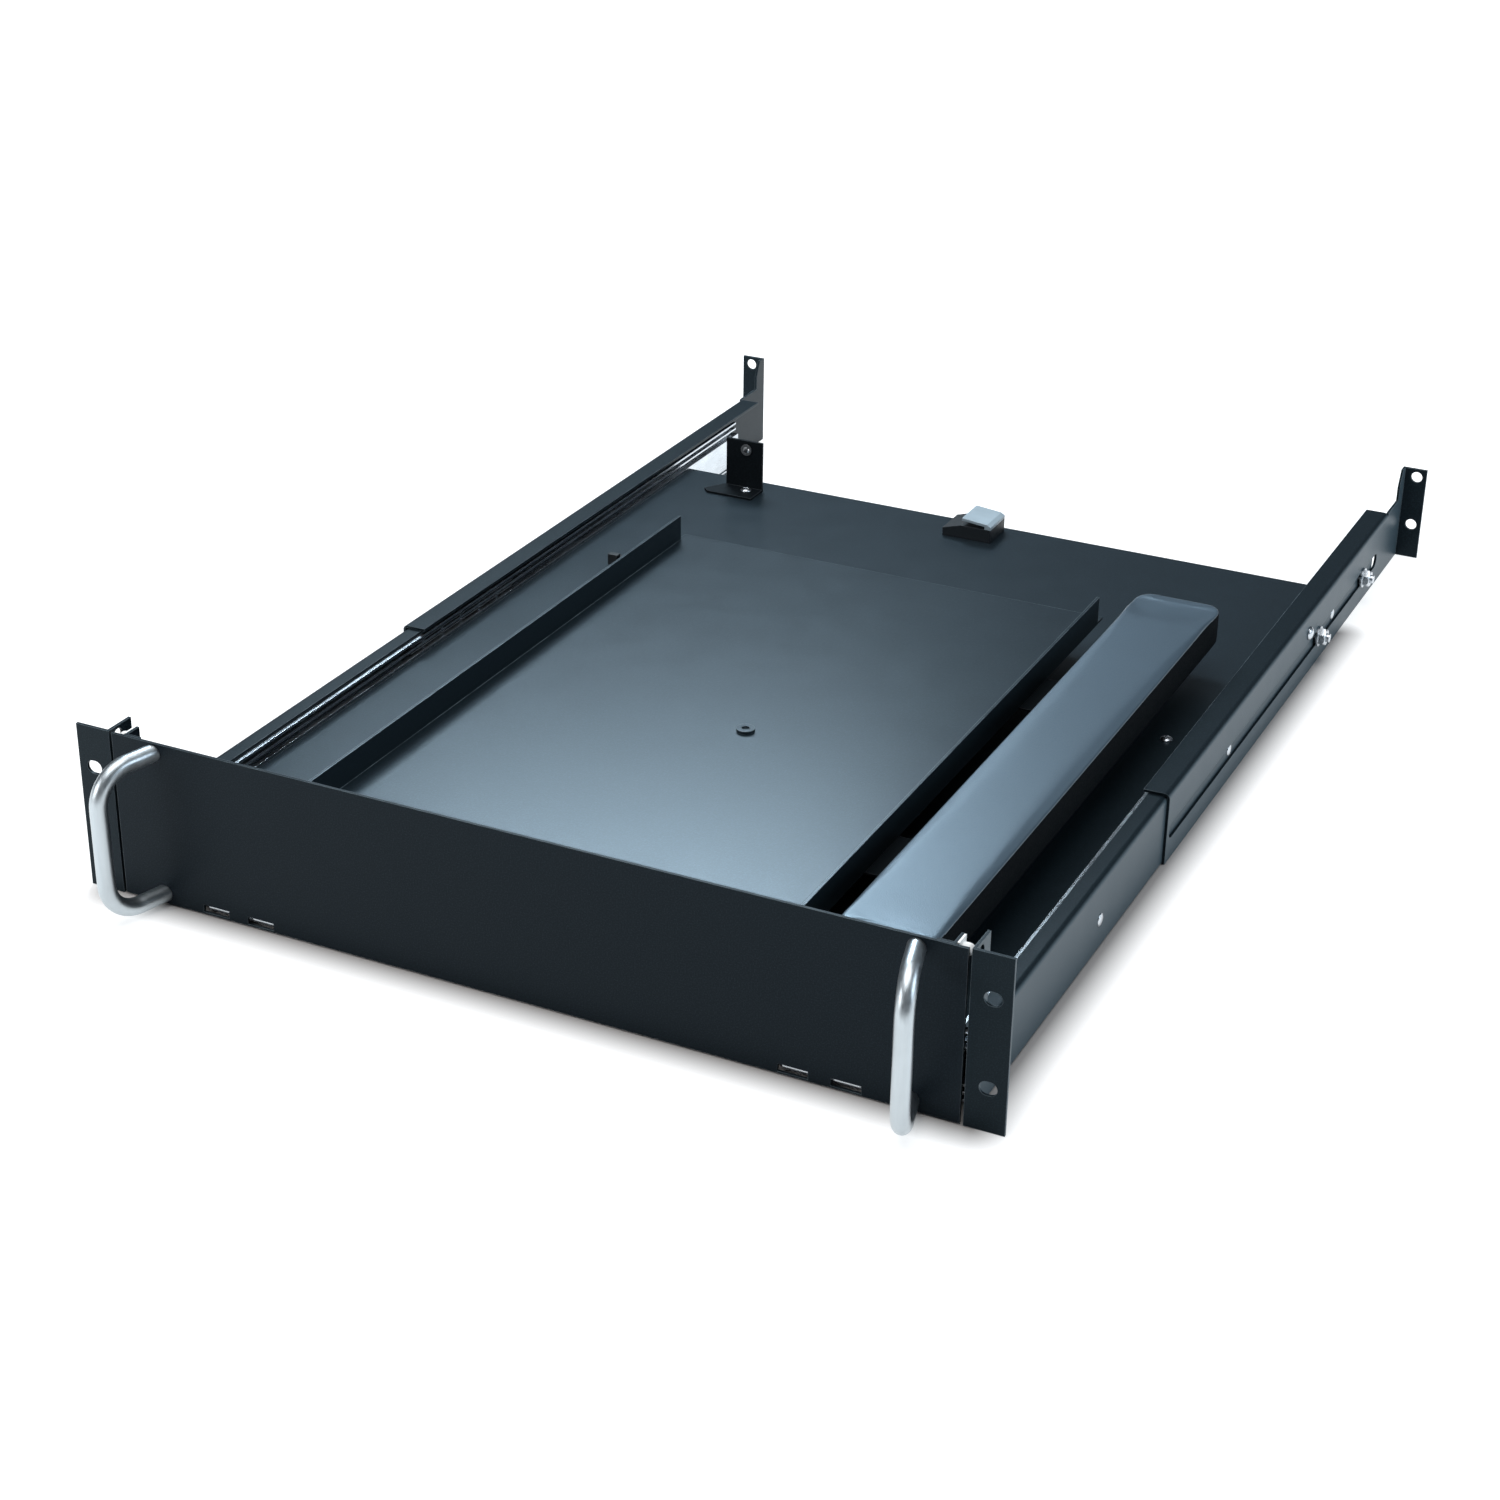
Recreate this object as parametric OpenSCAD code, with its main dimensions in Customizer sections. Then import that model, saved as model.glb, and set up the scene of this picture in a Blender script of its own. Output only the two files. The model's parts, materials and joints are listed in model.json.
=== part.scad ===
// Rack keyboard drawer with a turning keyboard platform, two units high.
// X to the right, Y to the back, Z up; origin midway between the four front rack holes.
// Heights in the sections are counted from the underside of the front ears.

/* [View] */
// Piece to show

/* [Rack ears and rails] */
// Height of the front ears
ear_h = 88.1; // [87.6:0.1:89.5]
// Distance between the left and the right column of rack holes
hole_spread = 465.1; // [464.5:0.1:465.9]
// Height between the two front holes of one ear
front_pitch = 44.45; // [43.5:0.05:45.5]
// Height between the two rear holes of one ear
rear_pitch = 31.75; // [30.5:0.05:33]
// Height of a front slot and width of a rear hole
hole_d = 7; // [6.4:0.1:7.4]
// Length of a front slot
slot_l = 8.5; // [8:0.1:10.3]
// Width of a front ear outside the middle of its holes
ear_edge_w = 8.75; // [8:0.05:9.5]
// Width of a rear ear outside the middle of its holes
rear_ear_edge_w = 6.15; // [5.5:0.05:8]
// Depth from the front ears to the rear ears
mount_depth = 722.5; // [715:0.5:740]
// Distance from a rack hole to the outside of its front rail
rail_inset = 9.05; // [8.8:0.05:9.5]
// Thickness of the bent sheet
sheet = 1.5; // [1.4:0.05:1.6]
// Overhang of a front rail behind its slide
rail_overhang = 10; // [6:0.5:13]
// Height of a rear rail
rear_rail_h = 39.8; // [39.7:0.1:40.4]
// Place of the front end of a rear rail
rear_rail_y = 262; // [250:1:280]
// Width of the top lip of a front rail
front_lip_w = 10; // [8:0.5:11]
// Width of the top lip of a rear rail
rear_lip_w = 14; // [12:0.5:15]
// Height of a rear ear above the middle of its upper hole
rear_ear_edge_h = 5.4; // [4.4:0.1:8.4]
// Height of the adjusting slot in a rear rail
adjust_slot_h = 9; // [8.6:0.1:9.6]

/* [Slides] */
// Length of the closed slides
slide_l = 640; // [630:1:642]
// Height of a slide
slide_h = 35; // [34.6:0.1:35.1]
// Width of a closed slide
slide_w = 12.7; // [12.5:0.05:12.9]
// Thickness of the slide members
slide_t = 1.2; // [1.1:0.02:1.25]
// Radius of a slide ball
slide_ball_r = 1.6; // [1.55:0.01:1.65]
// Front end of the slides behind the ears
slide_y = 15; // [14:0.1:17]

/* [Tray] */
// Height of the top of the tray floor
floor_z = 27; // [26.6:0.1:27.4]
// Distance from the rear edge of the tray to the rear end of the slides
tray_short = 70; // [65:1:75]
// Height of the down-turned tray sides
tray_side_h = 18; // [16:0.5:19]

/* [Front panel] */
// Gap between the front panel and the web of an ear
panel_gap = 1.6; // [1.4:0.1:2.6]
// Gap above and below the front panel, inside the height of the ears
panel_margin = 0.55; // [0.4:0.05:0.8]
// Distance from a side edge of the panel to the middle of its hinge
hinge_inset = 66.5; // [60:0.5:72]
// Width of a hinge
hinge_w = 38; // [34:0.5:40]
// Radius of a hinge knuckle
knuckle_r = 2; // [1.9:0.05:2.1]
// Distance from a side edge of the panel to the middle of a handle foot
handle_inset = 23.3; // [22.8:0.1:28]
// Distance from the top or bottom edge of the panel to the middle of a handle foot
foot_inset = 5.4; // [5.2:0.1:7]
// Radius of the handle rod
handle_r = 4.4; // [4.2:0.05:4.8]
// Reach of a handle, from the panel to the middle of the rod
handle_reach = 33; // [30:0.5:38]
// Outward turn of a handle
handle_turn = 15; // [0:1:20]

/* [Turntable and platform] */
// Pivot beside the middle
pivot_x = 11.5; // [10:0.5:13]
// Pivot behind the ears
pivot_y = 216; // [214:0.5:218]
// Height of the keyboard surface
pan_z = 47; // [46.8:0.05:47.4]
// Left edge of the platform
pan_left = 138.4; // [130:0.5:140]
// Right edge of the platform
pan_right = 125.7; // [122:0.5:127]
// Front edge of the platform
pan_front = 40; // [39.5:0.1:46]
// Rear edge of the platform
pan_rear = 439; // [425:1:442]
// Height of the keyboard lips above the surface
lip_h = 15; // [12:0.5:18]
// Height of the pedestal under the turntable
pedestal_h = 11; // [10.8:0.05:11.2]
// Radius of the ball circle of the turntable
race_circle_r = 60; // [57:0.5:62]
// Radius of a turntable ball
ball_r = 2.5; // [2.4:0.02:2.55]
// Number of turntable balls
ball_count = 16; // [12:1:20]
// Left side of the wrist rest
rest_left = 144.2; // [142:0.5:146]
// Width of the wrist rest
rest_w = 49.5; // [46:0.5:50]
// Front end of the wrist rest, at its top
rest_front = 30; // [29.8:0.1:44]
// Rear end of the wrist rest
rest_rear = 446; // [430:1:448]
// Height of the wrist rest cushion
rest_h = 20; // [18:0.5:22]
// Corner radius of the wrist rest
rest_corner_r = 11; // [10.5:0.5:14]
// Radius of the rounded top edge of the wrist rest
rest_edge_r = 2; // [1.5:0.25:2.75]
// Slant of the front end of the wrist rest, which clears the folding panel
rest_slant = 32; // [31:0.5:35]

/* [Cable parts] */
// Distance from the left side of the tray to the middle of the cable arm bracket
arm_inset = 47; // [44:0.5:52]
// Distance from the rear edge of the tray to the cable arm bracket
arm_edge = 15; // [11:1:25]
// Width of the cable arm bracket
arm_w = 25.4; // [24:0.2:30]
// Height of the cable arm bracket
arm_h = 33; // [30:0.5:40]
// Distance from the rear edge of the tray to the middle of the cable clip
clip_edge = 17; // [14:1:30]
// Width of the cable clip
clip_w = 31.6; // [28:0.2:36]

/* [Hidden] */
// overrun of every cut
over = 1;
// running clearance of pins, balls and turning faces
fit_gap = 0.05;
turn_gap = 0.08;
side_gap = 0.3;
// colours
coat = [0.13, 0.15, 0.16];
coat_grey = [0.3, 0.33, 0.35];
zinc = [0.72, 0.74, 0.76];
satin = [0.78, 0.8, 0.8];
steel = [0.6, 0.62, 0.64];
dark_plastic = [0.08, 0.08, 0.09];
grey_plastic = [0.45, 0.48, 0.5];
cushion_grey = [0.45, 0.52, 0.58];
nylon = [0.85, 0.85, 0.8];

// rails
rail_x = hole_spread / 2 - rail_inset;
web_x = rail_x - sheet;
front_rail_l = slide_y + slide_l + rail_overhang;
ear_x = hole_spread / 2 + ear_edge_w;
rear_ear_x = hole_spread / 2 + rear_ear_edge_w;
ear_web_l = 17.5;
rail_z = 1;
front_rail_top = 38.1;
bend_r = 3;
slot_z = 16.5;
slot_inset = 8;
slot_front_y = rear_rail_y + slot_inset;
slot_rear_y = front_rail_l;
rear_lip_end = 24;
rear_lip_l = front_rail_l + rear_lip_end - rear_rail_y;
rear_tab_l = 10;
rear_tab_corner_l = 5;
rear_tab_corner_h = 10;
rear_low_hole = ear_h / 2 - front_pitch / 2;
rear_ear_h = rear_low_hole + rear_pitch + rear_ear_edge_h;
catch_hole_r = 3.4;

// studs, nuts and rivets that hold the rails
stud_insets = [127, 29];
stud_places = [for (inset = stud_insets) front_rail_l - inset];
rivet_shares = [0.2375, 0.555, 0.872];
rivet_places = [for (share = rivet_shares) slide_y + share * slide_l];
stud_r = 2.5;
stud_l = 10;
washer_r = 6;
washer_t = 1.2;
nut_flat = 9;
nut_t = 4;
rivet_r = 2;
rivet_head_r = 3.5;
rivet_head_t = 0.7;
rivet_foot_t = 1;
rivet_foot_r = 3.4;
rail_rivet_share = 0.783;
rail_rivet_y = slide_y + rail_rivet_share * slide_l;
rail_rivet_z = 27;
rail_rivet_r = 2.2;
rail_rivet_head_r = 4;
rail_rivet_head_t = 2.4;

// slides
slide_z = 1.4;
slide_mid_z = slide_z + slide_h / 2;
race_gap = 2.6;
cage_t = 0.6;
cage_l = 110;
cage_share = 0.45;
cage_y = slide_y + cage_share * slide_l - cage_l / 2;
cage_ball_step = 20;
cage_ball_count = 5;
slide_mouth = 1.7;
cage_mouth = 2.1;
tray_x = web_x - slide_w;
outer_half = slide_h / 2;
outer_ball_half = outer_half - slide_t - race_gap / 2;
middle_half = outer_half - slide_t - race_gap;
inner_ball_half = middle_half - slide_t - race_gap / 2;
inner_half = middle_half - slide_t - race_gap;
middle_x = web_x - slide_t - rivet_head_t - side_gap * 2 - cage_t;
outer_cage_x = middle_x + side_gap + cage_t;
inner_cage_x = middle_x - slide_t - side_gap;
inner_x = inner_cage_x - cage_t - side_gap;
slide_ball_x = (tray_x + slide_t + inner_x) / 2;
slide_race_r = slide_ball_r + fit_gap;

// screws between the inner slides and the tray
slide_screw_shares = [0.086, 0.4766, 0.8516];
slide_screw_places = [for (share = slide_screw_shares) slide_y + share * slide_l];
slide_screw_z = 18;
slide_screw_r = 2;
slide_screw_head_r = 3.5;
slide_screw_head_t = 2;
slide_screw_l = 4;

// tray
tray_rear_y = slide_y + slide_l - tray_short;
apron_y = 7;
apron_z = 1.6;
apron_side_gap = 4;

// panel
panel_x = web_x - panel_gap;
panel_z = panel_margin;
panel_h = ear_h - panel_margin * 2;
hinge_x = panel_x - hinge_inset;
hinge_y = 4.25;
hinge_z = 3;
leaf_t = 1.2;
leaf_top = 20;
pin_r = 0.95;
knuckle_relief = 0.4;
mid_knuckle_w = 11;
window_w = 14.8;
window_low = 1.4;
window_high = 5.4;
hinge_rivet_place = 12.6;
hinge_rivet_z = 15;
hinge_rivet_r = 1.6;
hinge_rivet_head_r = 2.8;
hinge_rivet_head_t = 0.9;
angle_inset = 6.3;
angle_x = panel_x - angle_inset;
angle_depth = 10;
angle_foot_w = 9;
angle_low = 28;
catch_drop = 5;
catch_above = 4.4;
catch_below = 7;
catch_t = 1;
catch_y = 7;
catch_z = ear_h - catch_drop;
catch_low = catch_z - catch_below;
catch_high = catch_z + catch_above;
catch_ball_r = 2.8;
catch_w = 8;
catch_rivet_r = 1;
catch_rivet_head_r = 1.6;
catch_rivet_head_t = 0.6;
catch_rivet_drop = 5;

// handles
handle_x = panel_x - handle_inset;
handle_pitch = panel_h - foot_inset * 2;
handle_bend_r = 18;
handle_screw_r = 2;
handle_screw_depth = 6;
handle_screw_head_r = 4;
handle_screw_head_t = 2.6;
handle_mid_z = ear_h / 2;

// pedestal and turntable
pan_low = pan_z - sheet;
pedestal_r = 80;
pedestal_foot_r = 92;
pedestal_hole_r = 86;
pedestal_rivet_count = 4;
pedestal_rivet_r = 2;
pedestal_rivet_head_r = 3.5;
pedestal_rivet_head_t = 1.4;
ring_half_w = 10;
ring_gap = 1.6;
lower_ring_t = 3.2;
ring_cage_half_w = 5;
ring_cage_t = 0.8;
pedestal_top = floor_z + pedestal_h;
lower_ring_top = pedestal_top + lower_ring_t;
ball_z = lower_ring_top + ring_gap / 2;
upper_ring_low = lower_ring_top + ring_gap;
race_r = ball_r + turn_gap;
bolt_r = 3;
bolt_head_r = 4.8;
bolt_head_t = 1.7;
bolt_socket_r = 2.3;
bolt_socket_t = 1.1;
bolt_washer_r = 8;
bolt_washer_t = 1;
bolt_nut_flat = 10;
bolt_nut_t = 5;
bolt_tail = 1;
bolt_head_z = pan_z + turn_gap;
bolt_nut_z = pedestal_top - sheet - bolt_washer_t - bolt_nut_t;

// platform and wrist rest
lip_end = 8;
bracket_t = 1.2;
bracket_inset = 3;
bracket_end = 20;
tongue_left = 60;
tongue_w = 40;
tongue_places = [110, 310];
rest_screw_places = [100, 390];
rest_screw_x = rest_left + rest_w / 2;
rest_screw_r = 2;
rest_screw_head_r = 3.2;
rest_screw_l = 12;
rest_slant_drop = 3;
rest_slant_top = pan_low + rest_h - rest_slant_drop;
rest_slant_turns = [0, 30];

// small parts on the floor
stop_inset = 32.3;
stop_x = stop_inset - tray_x;
stop_y = 423;
stop_w = 6.5;
stop_l = 8;
stop_h = 6.5;
stop_step = 2.5;
arm_x = arm_inset - tray_x;
arm_y = tray_rear_y - arm_edge;
arm_foot_l = 18;
arm_foot_side = 9.5;
arm_foot_corner = 4;
arm_hole_side = 1.5;
arm_hole_drop = 6;
eyelet_r = 2.9;
eyelet_bore_r = 2.2;
eyelet_flange_r = 3.7;
eyelet_flange_t = 0.8;
eyelet_back_l = 3;
screw_r = 2;
screw_head_r = 3.6;
screw_head_t = 1.8;
screw_tail = 5;
arm_screw_side = 3.8;
arm_screw_y = 6.5;
clip_x = -3.6;
clip_right = clip_x + clip_w / 2;
clip_y = tray_rear_y - clip_edge;
clip_l = 24;
clip_base_h = 8.5;
clip_tail_w = 12;
clip_tail_h = 5;
clip_leaf_w = 19;
clip_leaf_rise = 5;
clip_leaf_t = 1.6;
clip_leaf_foot = 4;
clip_leaf_corner = 2.5;
clip_leaf_edge = 1.9;
clip_leaf_shoulder = 3.4;
floor_screw_inset = 13.3;
floor_screw_x = tray_x - floor_screw_inset;
floor_screw_y = 346;
round_faces = 96;

// helpers
module from_bottom() { translate([0, 0, -ear_h / 2]) children(); }
module both_sides() {
    children();
    mirror([1, 0, 0]) children();
}
module along_y(start, length) {
    translate([0, start + length, 0]) rotate([90, 0, 0]) linear_extrude(length) children();
}
module along_x(start, length) {
    translate([start, 0, 0]) rotate([90, 0, 90]) linear_extrude(length) children();
}
module rod_x(start, length, r) {
    translate([start, 0, 0]) rotate([0, 90, 0]) cylinder(r = r, h = length, $fn = round_faces);
}
module rod_y(start, length, r) {
    translate([0, start + length, 0]) rotate([90, 0, 0]) cylinder(r = r, h = length, $fn = round_faces);
}
module rod_z(start, length, r) {
    translate([0, 0, start]) cylinder(r = r, h = length, $fn = round_faces);
}
module hex_x(start, length, flat) {
    translate([start, 0, 0]) rotate([0, 90, 0]) cylinder(r = flat / sqrt(3), h = length, $fn = 6);
}

// rails and ears, the rails as profiles in X and Z
module bent_rail(outside, low, top, lip_w) {
    difference() {
        translate([outside - lip_w, low]) square([lip_w, top - low]);
        translate([outside - lip_w - over, low - over])
            square([lip_w + over - sheet, top - sheet - low + over]);
        translate([outside - bend_r, top - bend_r]) difference() {
            square([bend_r + over, bend_r + over]);
            circle(r = bend_r, $fn = round_faces);
        }
    }
}
module front_bracket() {
    difference() {
        union() {
            translate([web_x, 0, 0]) cube([ear_x - web_x, sheet, ear_h]);
            translate([web_x, 0, 0]) cube([sheet, ear_web_l, ear_h]);
            along_y(ear_web_l, front_rail_l - ear_web_l)
                bent_rail(rail_x, rail_z, front_rail_top, front_lip_w);
        }
        for (side = [-1, 1]) translate([hole_spread / 2, 0, ear_h / 2 + side * front_pitch / 2]) {
            for (end = [-1, 1]) translate([end * (slot_l - hole_d) / 2, 0, 0])
                rod_y(-over, sheet + over * 2, hole_d / 2);
            translate([-(slot_l - hole_d) / 2, -over, -hole_d / 2])
                cube([slot_l - hole_d, sheet + over * 2, hole_d]);
        }
        for (y = rivet_places) translate([0, y, slot_z]) rod_x(web_x - over, sheet + over * 2, rivet_r);
        for (y = stud_places) translate([0, y, slot_z]) rod_x(web_x - over, sheet + over * 2, stud_r);
        translate([0, catch_y, catch_z]) rod_x(web_x - over, sheet + over * 2, catch_hole_r);
    }
}
module rear_bracket() {
    difference() {
        union() {
            along_y(rear_rail_y, rear_lip_l) bent_rail(rail_x + sheet, 0, rear_rail_h, rear_lip_w);
            along_x(rail_x, sheet) polygon([
                [rear_rail_y + rear_lip_l - bend_r, 0],
                [rear_rail_y + rear_lip_l - bend_r, rear_rail_h - bend_r],
                [rear_rail_y + rear_lip_l, rear_rail_h - bend_r], [rear_rail_y + rear_lip_l, rear_rail_h],
                [mount_depth - rear_tab_l, rear_rail_h],
                [mount_depth - rear_tab_l, rear_ear_h - rear_tab_corner_h],
                [mount_depth - rear_tab_l + rear_tab_corner_l, rear_ear_h],
                [mount_depth, rear_ear_h], [mount_depth, 0]]);
            translate([rail_x, mount_depth, 0]) cube([rear_ear_x - rail_x, sheet, rear_ear_h]);
        }
        for (y = [slot_front_y, slot_rear_y]) translate([0, y, slot_z])
            rod_x(rail_x - over, sheet + over * 2, adjust_slot_h / 2);
        translate([rail_x - over, slot_front_y, slot_z - adjust_slot_h / 2])
            cube([sheet + over * 2, slot_rear_y - slot_front_y, adjust_slot_h]);
        translate([0, rail_rivet_y, rail_rivet_z]) rod_x(rail_x - over, sheet + over * 2, rail_rivet_r);
        for (up = [0, rear_pitch]) translate([hole_spread / 2, 0, rear_low_hole + up])
            rod_y(mount_depth - over, sheet + over * 2, hole_d / 2);
    }
}
module right_front_bracket() color(coat) from_bottom() front_bracket();
module left_front_bracket() color(coat) from_bottom() mirror([1, 0, 0]) front_bracket();
module right_rear_bracket() color(coat_grey) from_bottom() rear_bracket();
module left_rear_bracket() color(coat_grey) from_bottom() mirror([1, 0, 0]) rear_bracket();

module rail_studs() color(zinc) from_bottom() both_sides()
    for (y = stud_places) translate([0, y, slot_z]) rod_x(web_x, stud_l, stud_r);
module rail_washers() color(zinc) from_bottom() both_sides()
    for (y = stud_places) translate([0, y, slot_z]) difference() {
        rod_x(rail_x + sheet, washer_t, washer_r);
        rod_x(rail_x + sheet - over, washer_t + over * 2, stud_r + fit_gap);
    }
module rail_nuts() color(zinc) from_bottom() both_sides()
    for (y = stud_places) translate([0, y, slot_z]) difference() {
        hex_x(rail_x + sheet + washer_t, nut_t, nut_flat);
        rod_x(rail_x, stud_l, stud_r + fit_gap);
    }
module rail_rivets() color(zinc) from_bottom() both_sides() translate([0, rail_rivet_y, rail_rivet_z]) {
    rod_x(rail_x, sheet, rail_rivet_r);
    rod_x(rail_x + sheet, rail_rivet_head_t, rail_rivet_head_r);
}
module slide_rivets() color(zinc) from_bottom() both_sides()
    for (y = rivet_places) translate([0, y, slot_z]) {
        rod_x(web_x - slide_t, slide_t + sheet, rivet_r);
        rod_x(web_x - slide_t - rivet_head_t, rivet_head_t, rivet_head_r);
        rod_x(rail_x, rivet_foot_t, rivet_foot_r);
    }

// slides, drawn as profiles in X and Z
module channel(x0, x1, half_h, t, web_out) {
    difference() {
        translate([x0, slide_mid_z - half_h]) square([x1 - x0, half_h * 2]);
        translate([web_out ? x0 - over : x0 + t, slide_mid_z - half_h + t])
            square([x1 - x0 - t + over, half_h * 2 - t * 2]);
    }
}
module races(half_h) {
    for (side = [-1, 1]) translate([slide_ball_x, slide_mid_z + side * half_h])
        circle(r = slide_race_r, $fn = round_faces);
}
module outer_slide() {
    difference() {
        along_y(slide_y, slide_l) difference() {
            channel(tray_x + slide_mouth, web_x, outer_half, slide_t, true);
            races(outer_ball_half);
        }
        for (y = rivet_places) translate([0, y, slot_z])
            rod_x(web_x - slide_t - over, slide_t + over * 2, rivet_r);
    }
}
module middle_slide() {
    along_y(slide_y, slide_l) difference() {
        channel(tray_x + slide_mouth, middle_x, middle_half, slide_t, true);
        races(outer_ball_half);
        races(inner_ball_half);
    }
}
module inner_slide() {
    difference() {
        along_y(slide_y, slide_l) difference() {
            channel(tray_x, inner_x, inner_half, slide_t, false);
            races(inner_ball_half);
        }
        for (y = slide_screw_places) translate([0, y, slide_screw_z])
            rod_x(tray_x - over, slide_t + over * 2, slide_screw_r);
    }
}
module right_outer_slide() color(zinc) from_bottom() outer_slide();
module left_outer_slide() color(zinc) from_bottom() mirror([1, 0, 0]) outer_slide();
module right_middle_slide() color(zinc) from_bottom() middle_slide();
module left_middle_slide() color(zinc) from_bottom() mirror([1, 0, 0]) middle_slide();
module right_inner_slide() color(zinc) from_bottom() inner_slide();
module left_inner_slide() color(zinc) from_bottom() mirror([1, 0, 0]) inner_slide();

module ball_cage(cage_x, ball_half) {
    difference() {
        along_y(cage_y, cage_l) channel(tray_x + cage_mouth, cage_x, ball_half + cage_t / 2, cage_t, true);
        cage_rows(ball_half) rod_z(-cage_t, cage_t * 2, slide_race_r);
    }
}
module cage_rows(ball_half) {
    for (i = [0 : cage_ball_count - 1]) for (side = [-1, 1])
        translate([slide_ball_x, cage_y + cage_ball_step / 2 + (i + 1 / 4) * cage_ball_step,
            slide_mid_z + side * ball_half]) children();
}
module outer_ball_cages() color(steel) from_bottom() both_sides() ball_cage(outer_cage_x, outer_ball_half);
module inner_ball_cages() color(steel) from_bottom() both_sides() ball_cage(inner_cage_x, inner_ball_half);
module outer_cage_balls() color(satin) from_bottom() both_sides()
    cage_rows(outer_ball_half) sphere(r = slide_ball_r, $fn = round_faces);
module inner_cage_balls() color(satin) from_bottom() both_sides()
    cage_rows(inner_ball_half) sphere(r = slide_ball_r, $fn = round_faces);

module slide_screws() color(zinc) from_bottom() both_sides()
    for (y = slide_screw_places) translate([0, y, slide_screw_z]) {
        rod_x(tray_x - sheet, slide_screw_l, slide_screw_r);
        rod_x(tray_x - sheet - slide_screw_head_t, slide_screw_head_t, slide_screw_head_r);
    }

// tray
module floor_tray() color(coat_grey) from_bottom() difference() {
    union() {
        translate([-tray_x, apron_y, floor_z - sheet]) cube([tray_x * 2, tray_rear_y - apron_y, sheet]);
        both_sides() translate([tray_x - sheet, slide_y, floor_z - tray_side_h])
            cube([sheet, tray_rear_y - slide_y, tray_side_h]);
        translate([-tray_x + apron_side_gap, apron_y, apron_z])
            cube([(tray_x - apron_side_gap) * 2, sheet, floor_z - apron_z]);
    }
    both_sides() for (y = slide_screw_places) translate([0, y, slide_screw_z])
        rod_x(tray_x - sheet - over, sheet + over * 2, slide_screw_r);
    both_sides() hinge_rivet_spots() rod_y(apron_y - over, sheet + over * 2, hinge_rivet_r);
    pedestal_spots() rod_z(floor_z - sheet - over, sheet + over * 2, pedestal_rivet_r);
    translate([floor_screw_x, floor_screw_y, 0]) rod_z(floor_z - sheet - over, sheet + over * 2, screw_r);
    translate([arm_x + arm_screw_side, arm_y - arm_screw_y, 0])
        rod_z(floor_z - sheet - over, sheet + over * 2, screw_r);
}
module floor_screw() color(zinc) from_bottom() translate([floor_screw_x, floor_screw_y, 0]) {
    rod_z(floor_z - screw_tail, screw_tail, screw_r);
    rod_z(floor_z, screw_head_t, screw_head_r);
}

// front panel
module hinge_rivet_spots() {
    for (side = [-1, 1]) translate([hinge_x + side * hinge_rivet_place, 0, hinge_rivet_z]) children();
}
module handle_feet() {
    for (side = [-1, 1]) translate([handle_x, 0, handle_mid_z + side * handle_pitch / 2]) children();
}
module front_panel() color(coat) from_bottom() difference() {
    translate([-panel_x, 0, panel_z]) cube([panel_x * 2, sheet, panel_h]);
    both_sides() for (side = [-1, 1])
        translate([hinge_x + side * (mid_knuckle_w + window_w) / 2 - window_w / 2, -over, window_low])
            cube([window_w, sheet + over * 2, window_high - window_low]);
    both_sides() handle_feet() rod_y(-over, sheet + over * 2, handle_screw_r + fit_gap);
}
module panel_angle() {
    difference() {
        union() {
            translate([angle_x - sheet, sheet, angle_low])
                cube([sheet, angle_depth, panel_z + panel_h - angle_low]);
            translate([angle_x - angle_foot_w, sheet, angle_low])
                cube([angle_foot_w, sheet, panel_z + panel_h - angle_low]);
        }
        translate([0, catch_y, catch_z - catch_rivet_drop])
            rod_x(angle_x - sheet - over, sheet + over * 2, catch_rivet_r);
    }
}
module right_panel_angle() color(coat) from_bottom() panel_angle();
module left_panel_angle() color(coat) from_bottom() mirror([1, 0, 0]) panel_angle();
module panel_catch() {
    difference() {
        union() {
            translate([angle_x, catch_y - catch_w / 2, catch_low])
                cube([catch_t, catch_w, catch_high - catch_low]);
            translate([0, catch_y, catch_z]) rod_x(angle_x + catch_t, catch_ball_r, catch_ball_r);
            translate([angle_x + catch_t + catch_ball_r, catch_y, catch_z])
                sphere(r = catch_ball_r, $fn = round_faces);
        }
        translate([0, catch_y, catch_z - catch_rivet_drop])
            rod_x(angle_x - over, catch_t + over * 2, catch_rivet_r);
    }
}
module right_panel_catch() color(nylon) from_bottom() panel_catch();
module left_panel_catch() color(nylon) from_bottom() mirror([1, 0, 0]) panel_catch();
module catch_rivets() color(zinc) from_bottom() both_sides()
    translate([0, catch_y, catch_z - catch_rivet_drop]) {
        rod_x(angle_x - sheet, sheet + catch_t, catch_rivet_r);
        rod_x(angle_x - sheet - catch_rivet_head_t, catch_rivet_head_t, catch_rivet_head_r);
    }

// handles: two legs, two bends and the grip, turned outward about the foot
module handle_bend() {
    rotate([90, 0, -90]) rotate_extrude(angle = 90, $fn = round_faces)
        translate([handle_bend_r, 0]) circle(r = handle_r, $fn = round_faces);
}
module handle() {
    leg = handle_reach - handle_bend_r;
    grip = handle_pitch - handle_bend_r * 2;
    difference() {
        translate([handle_x, 0, handle_mid_z]) rotate([0, 0, handle_turn]) {
            for (side = [0, 1]) mirror([0, 0, side]) {
                translate([0, 0, handle_pitch / 2]) rod_y(-leg, leg + handle_r, handle_r);
                translate([0, -leg, grip / 2]) handle_bend();
            }
            translate([0, -handle_reach, 0]) rod_z(-grip / 2, grip, handle_r);
        }
        cube([panel_x + over, handle_reach, ear_h + over]);
        handle_feet() rod_y(-handle_screw_depth, handle_screw_depth + over, handle_screw_r + fit_gap);
    }
}
module right_handle() color(satin) from_bottom() handle();
module left_handle() color(satin) from_bottom() mirror([1, 0, 0]) handle();
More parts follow.
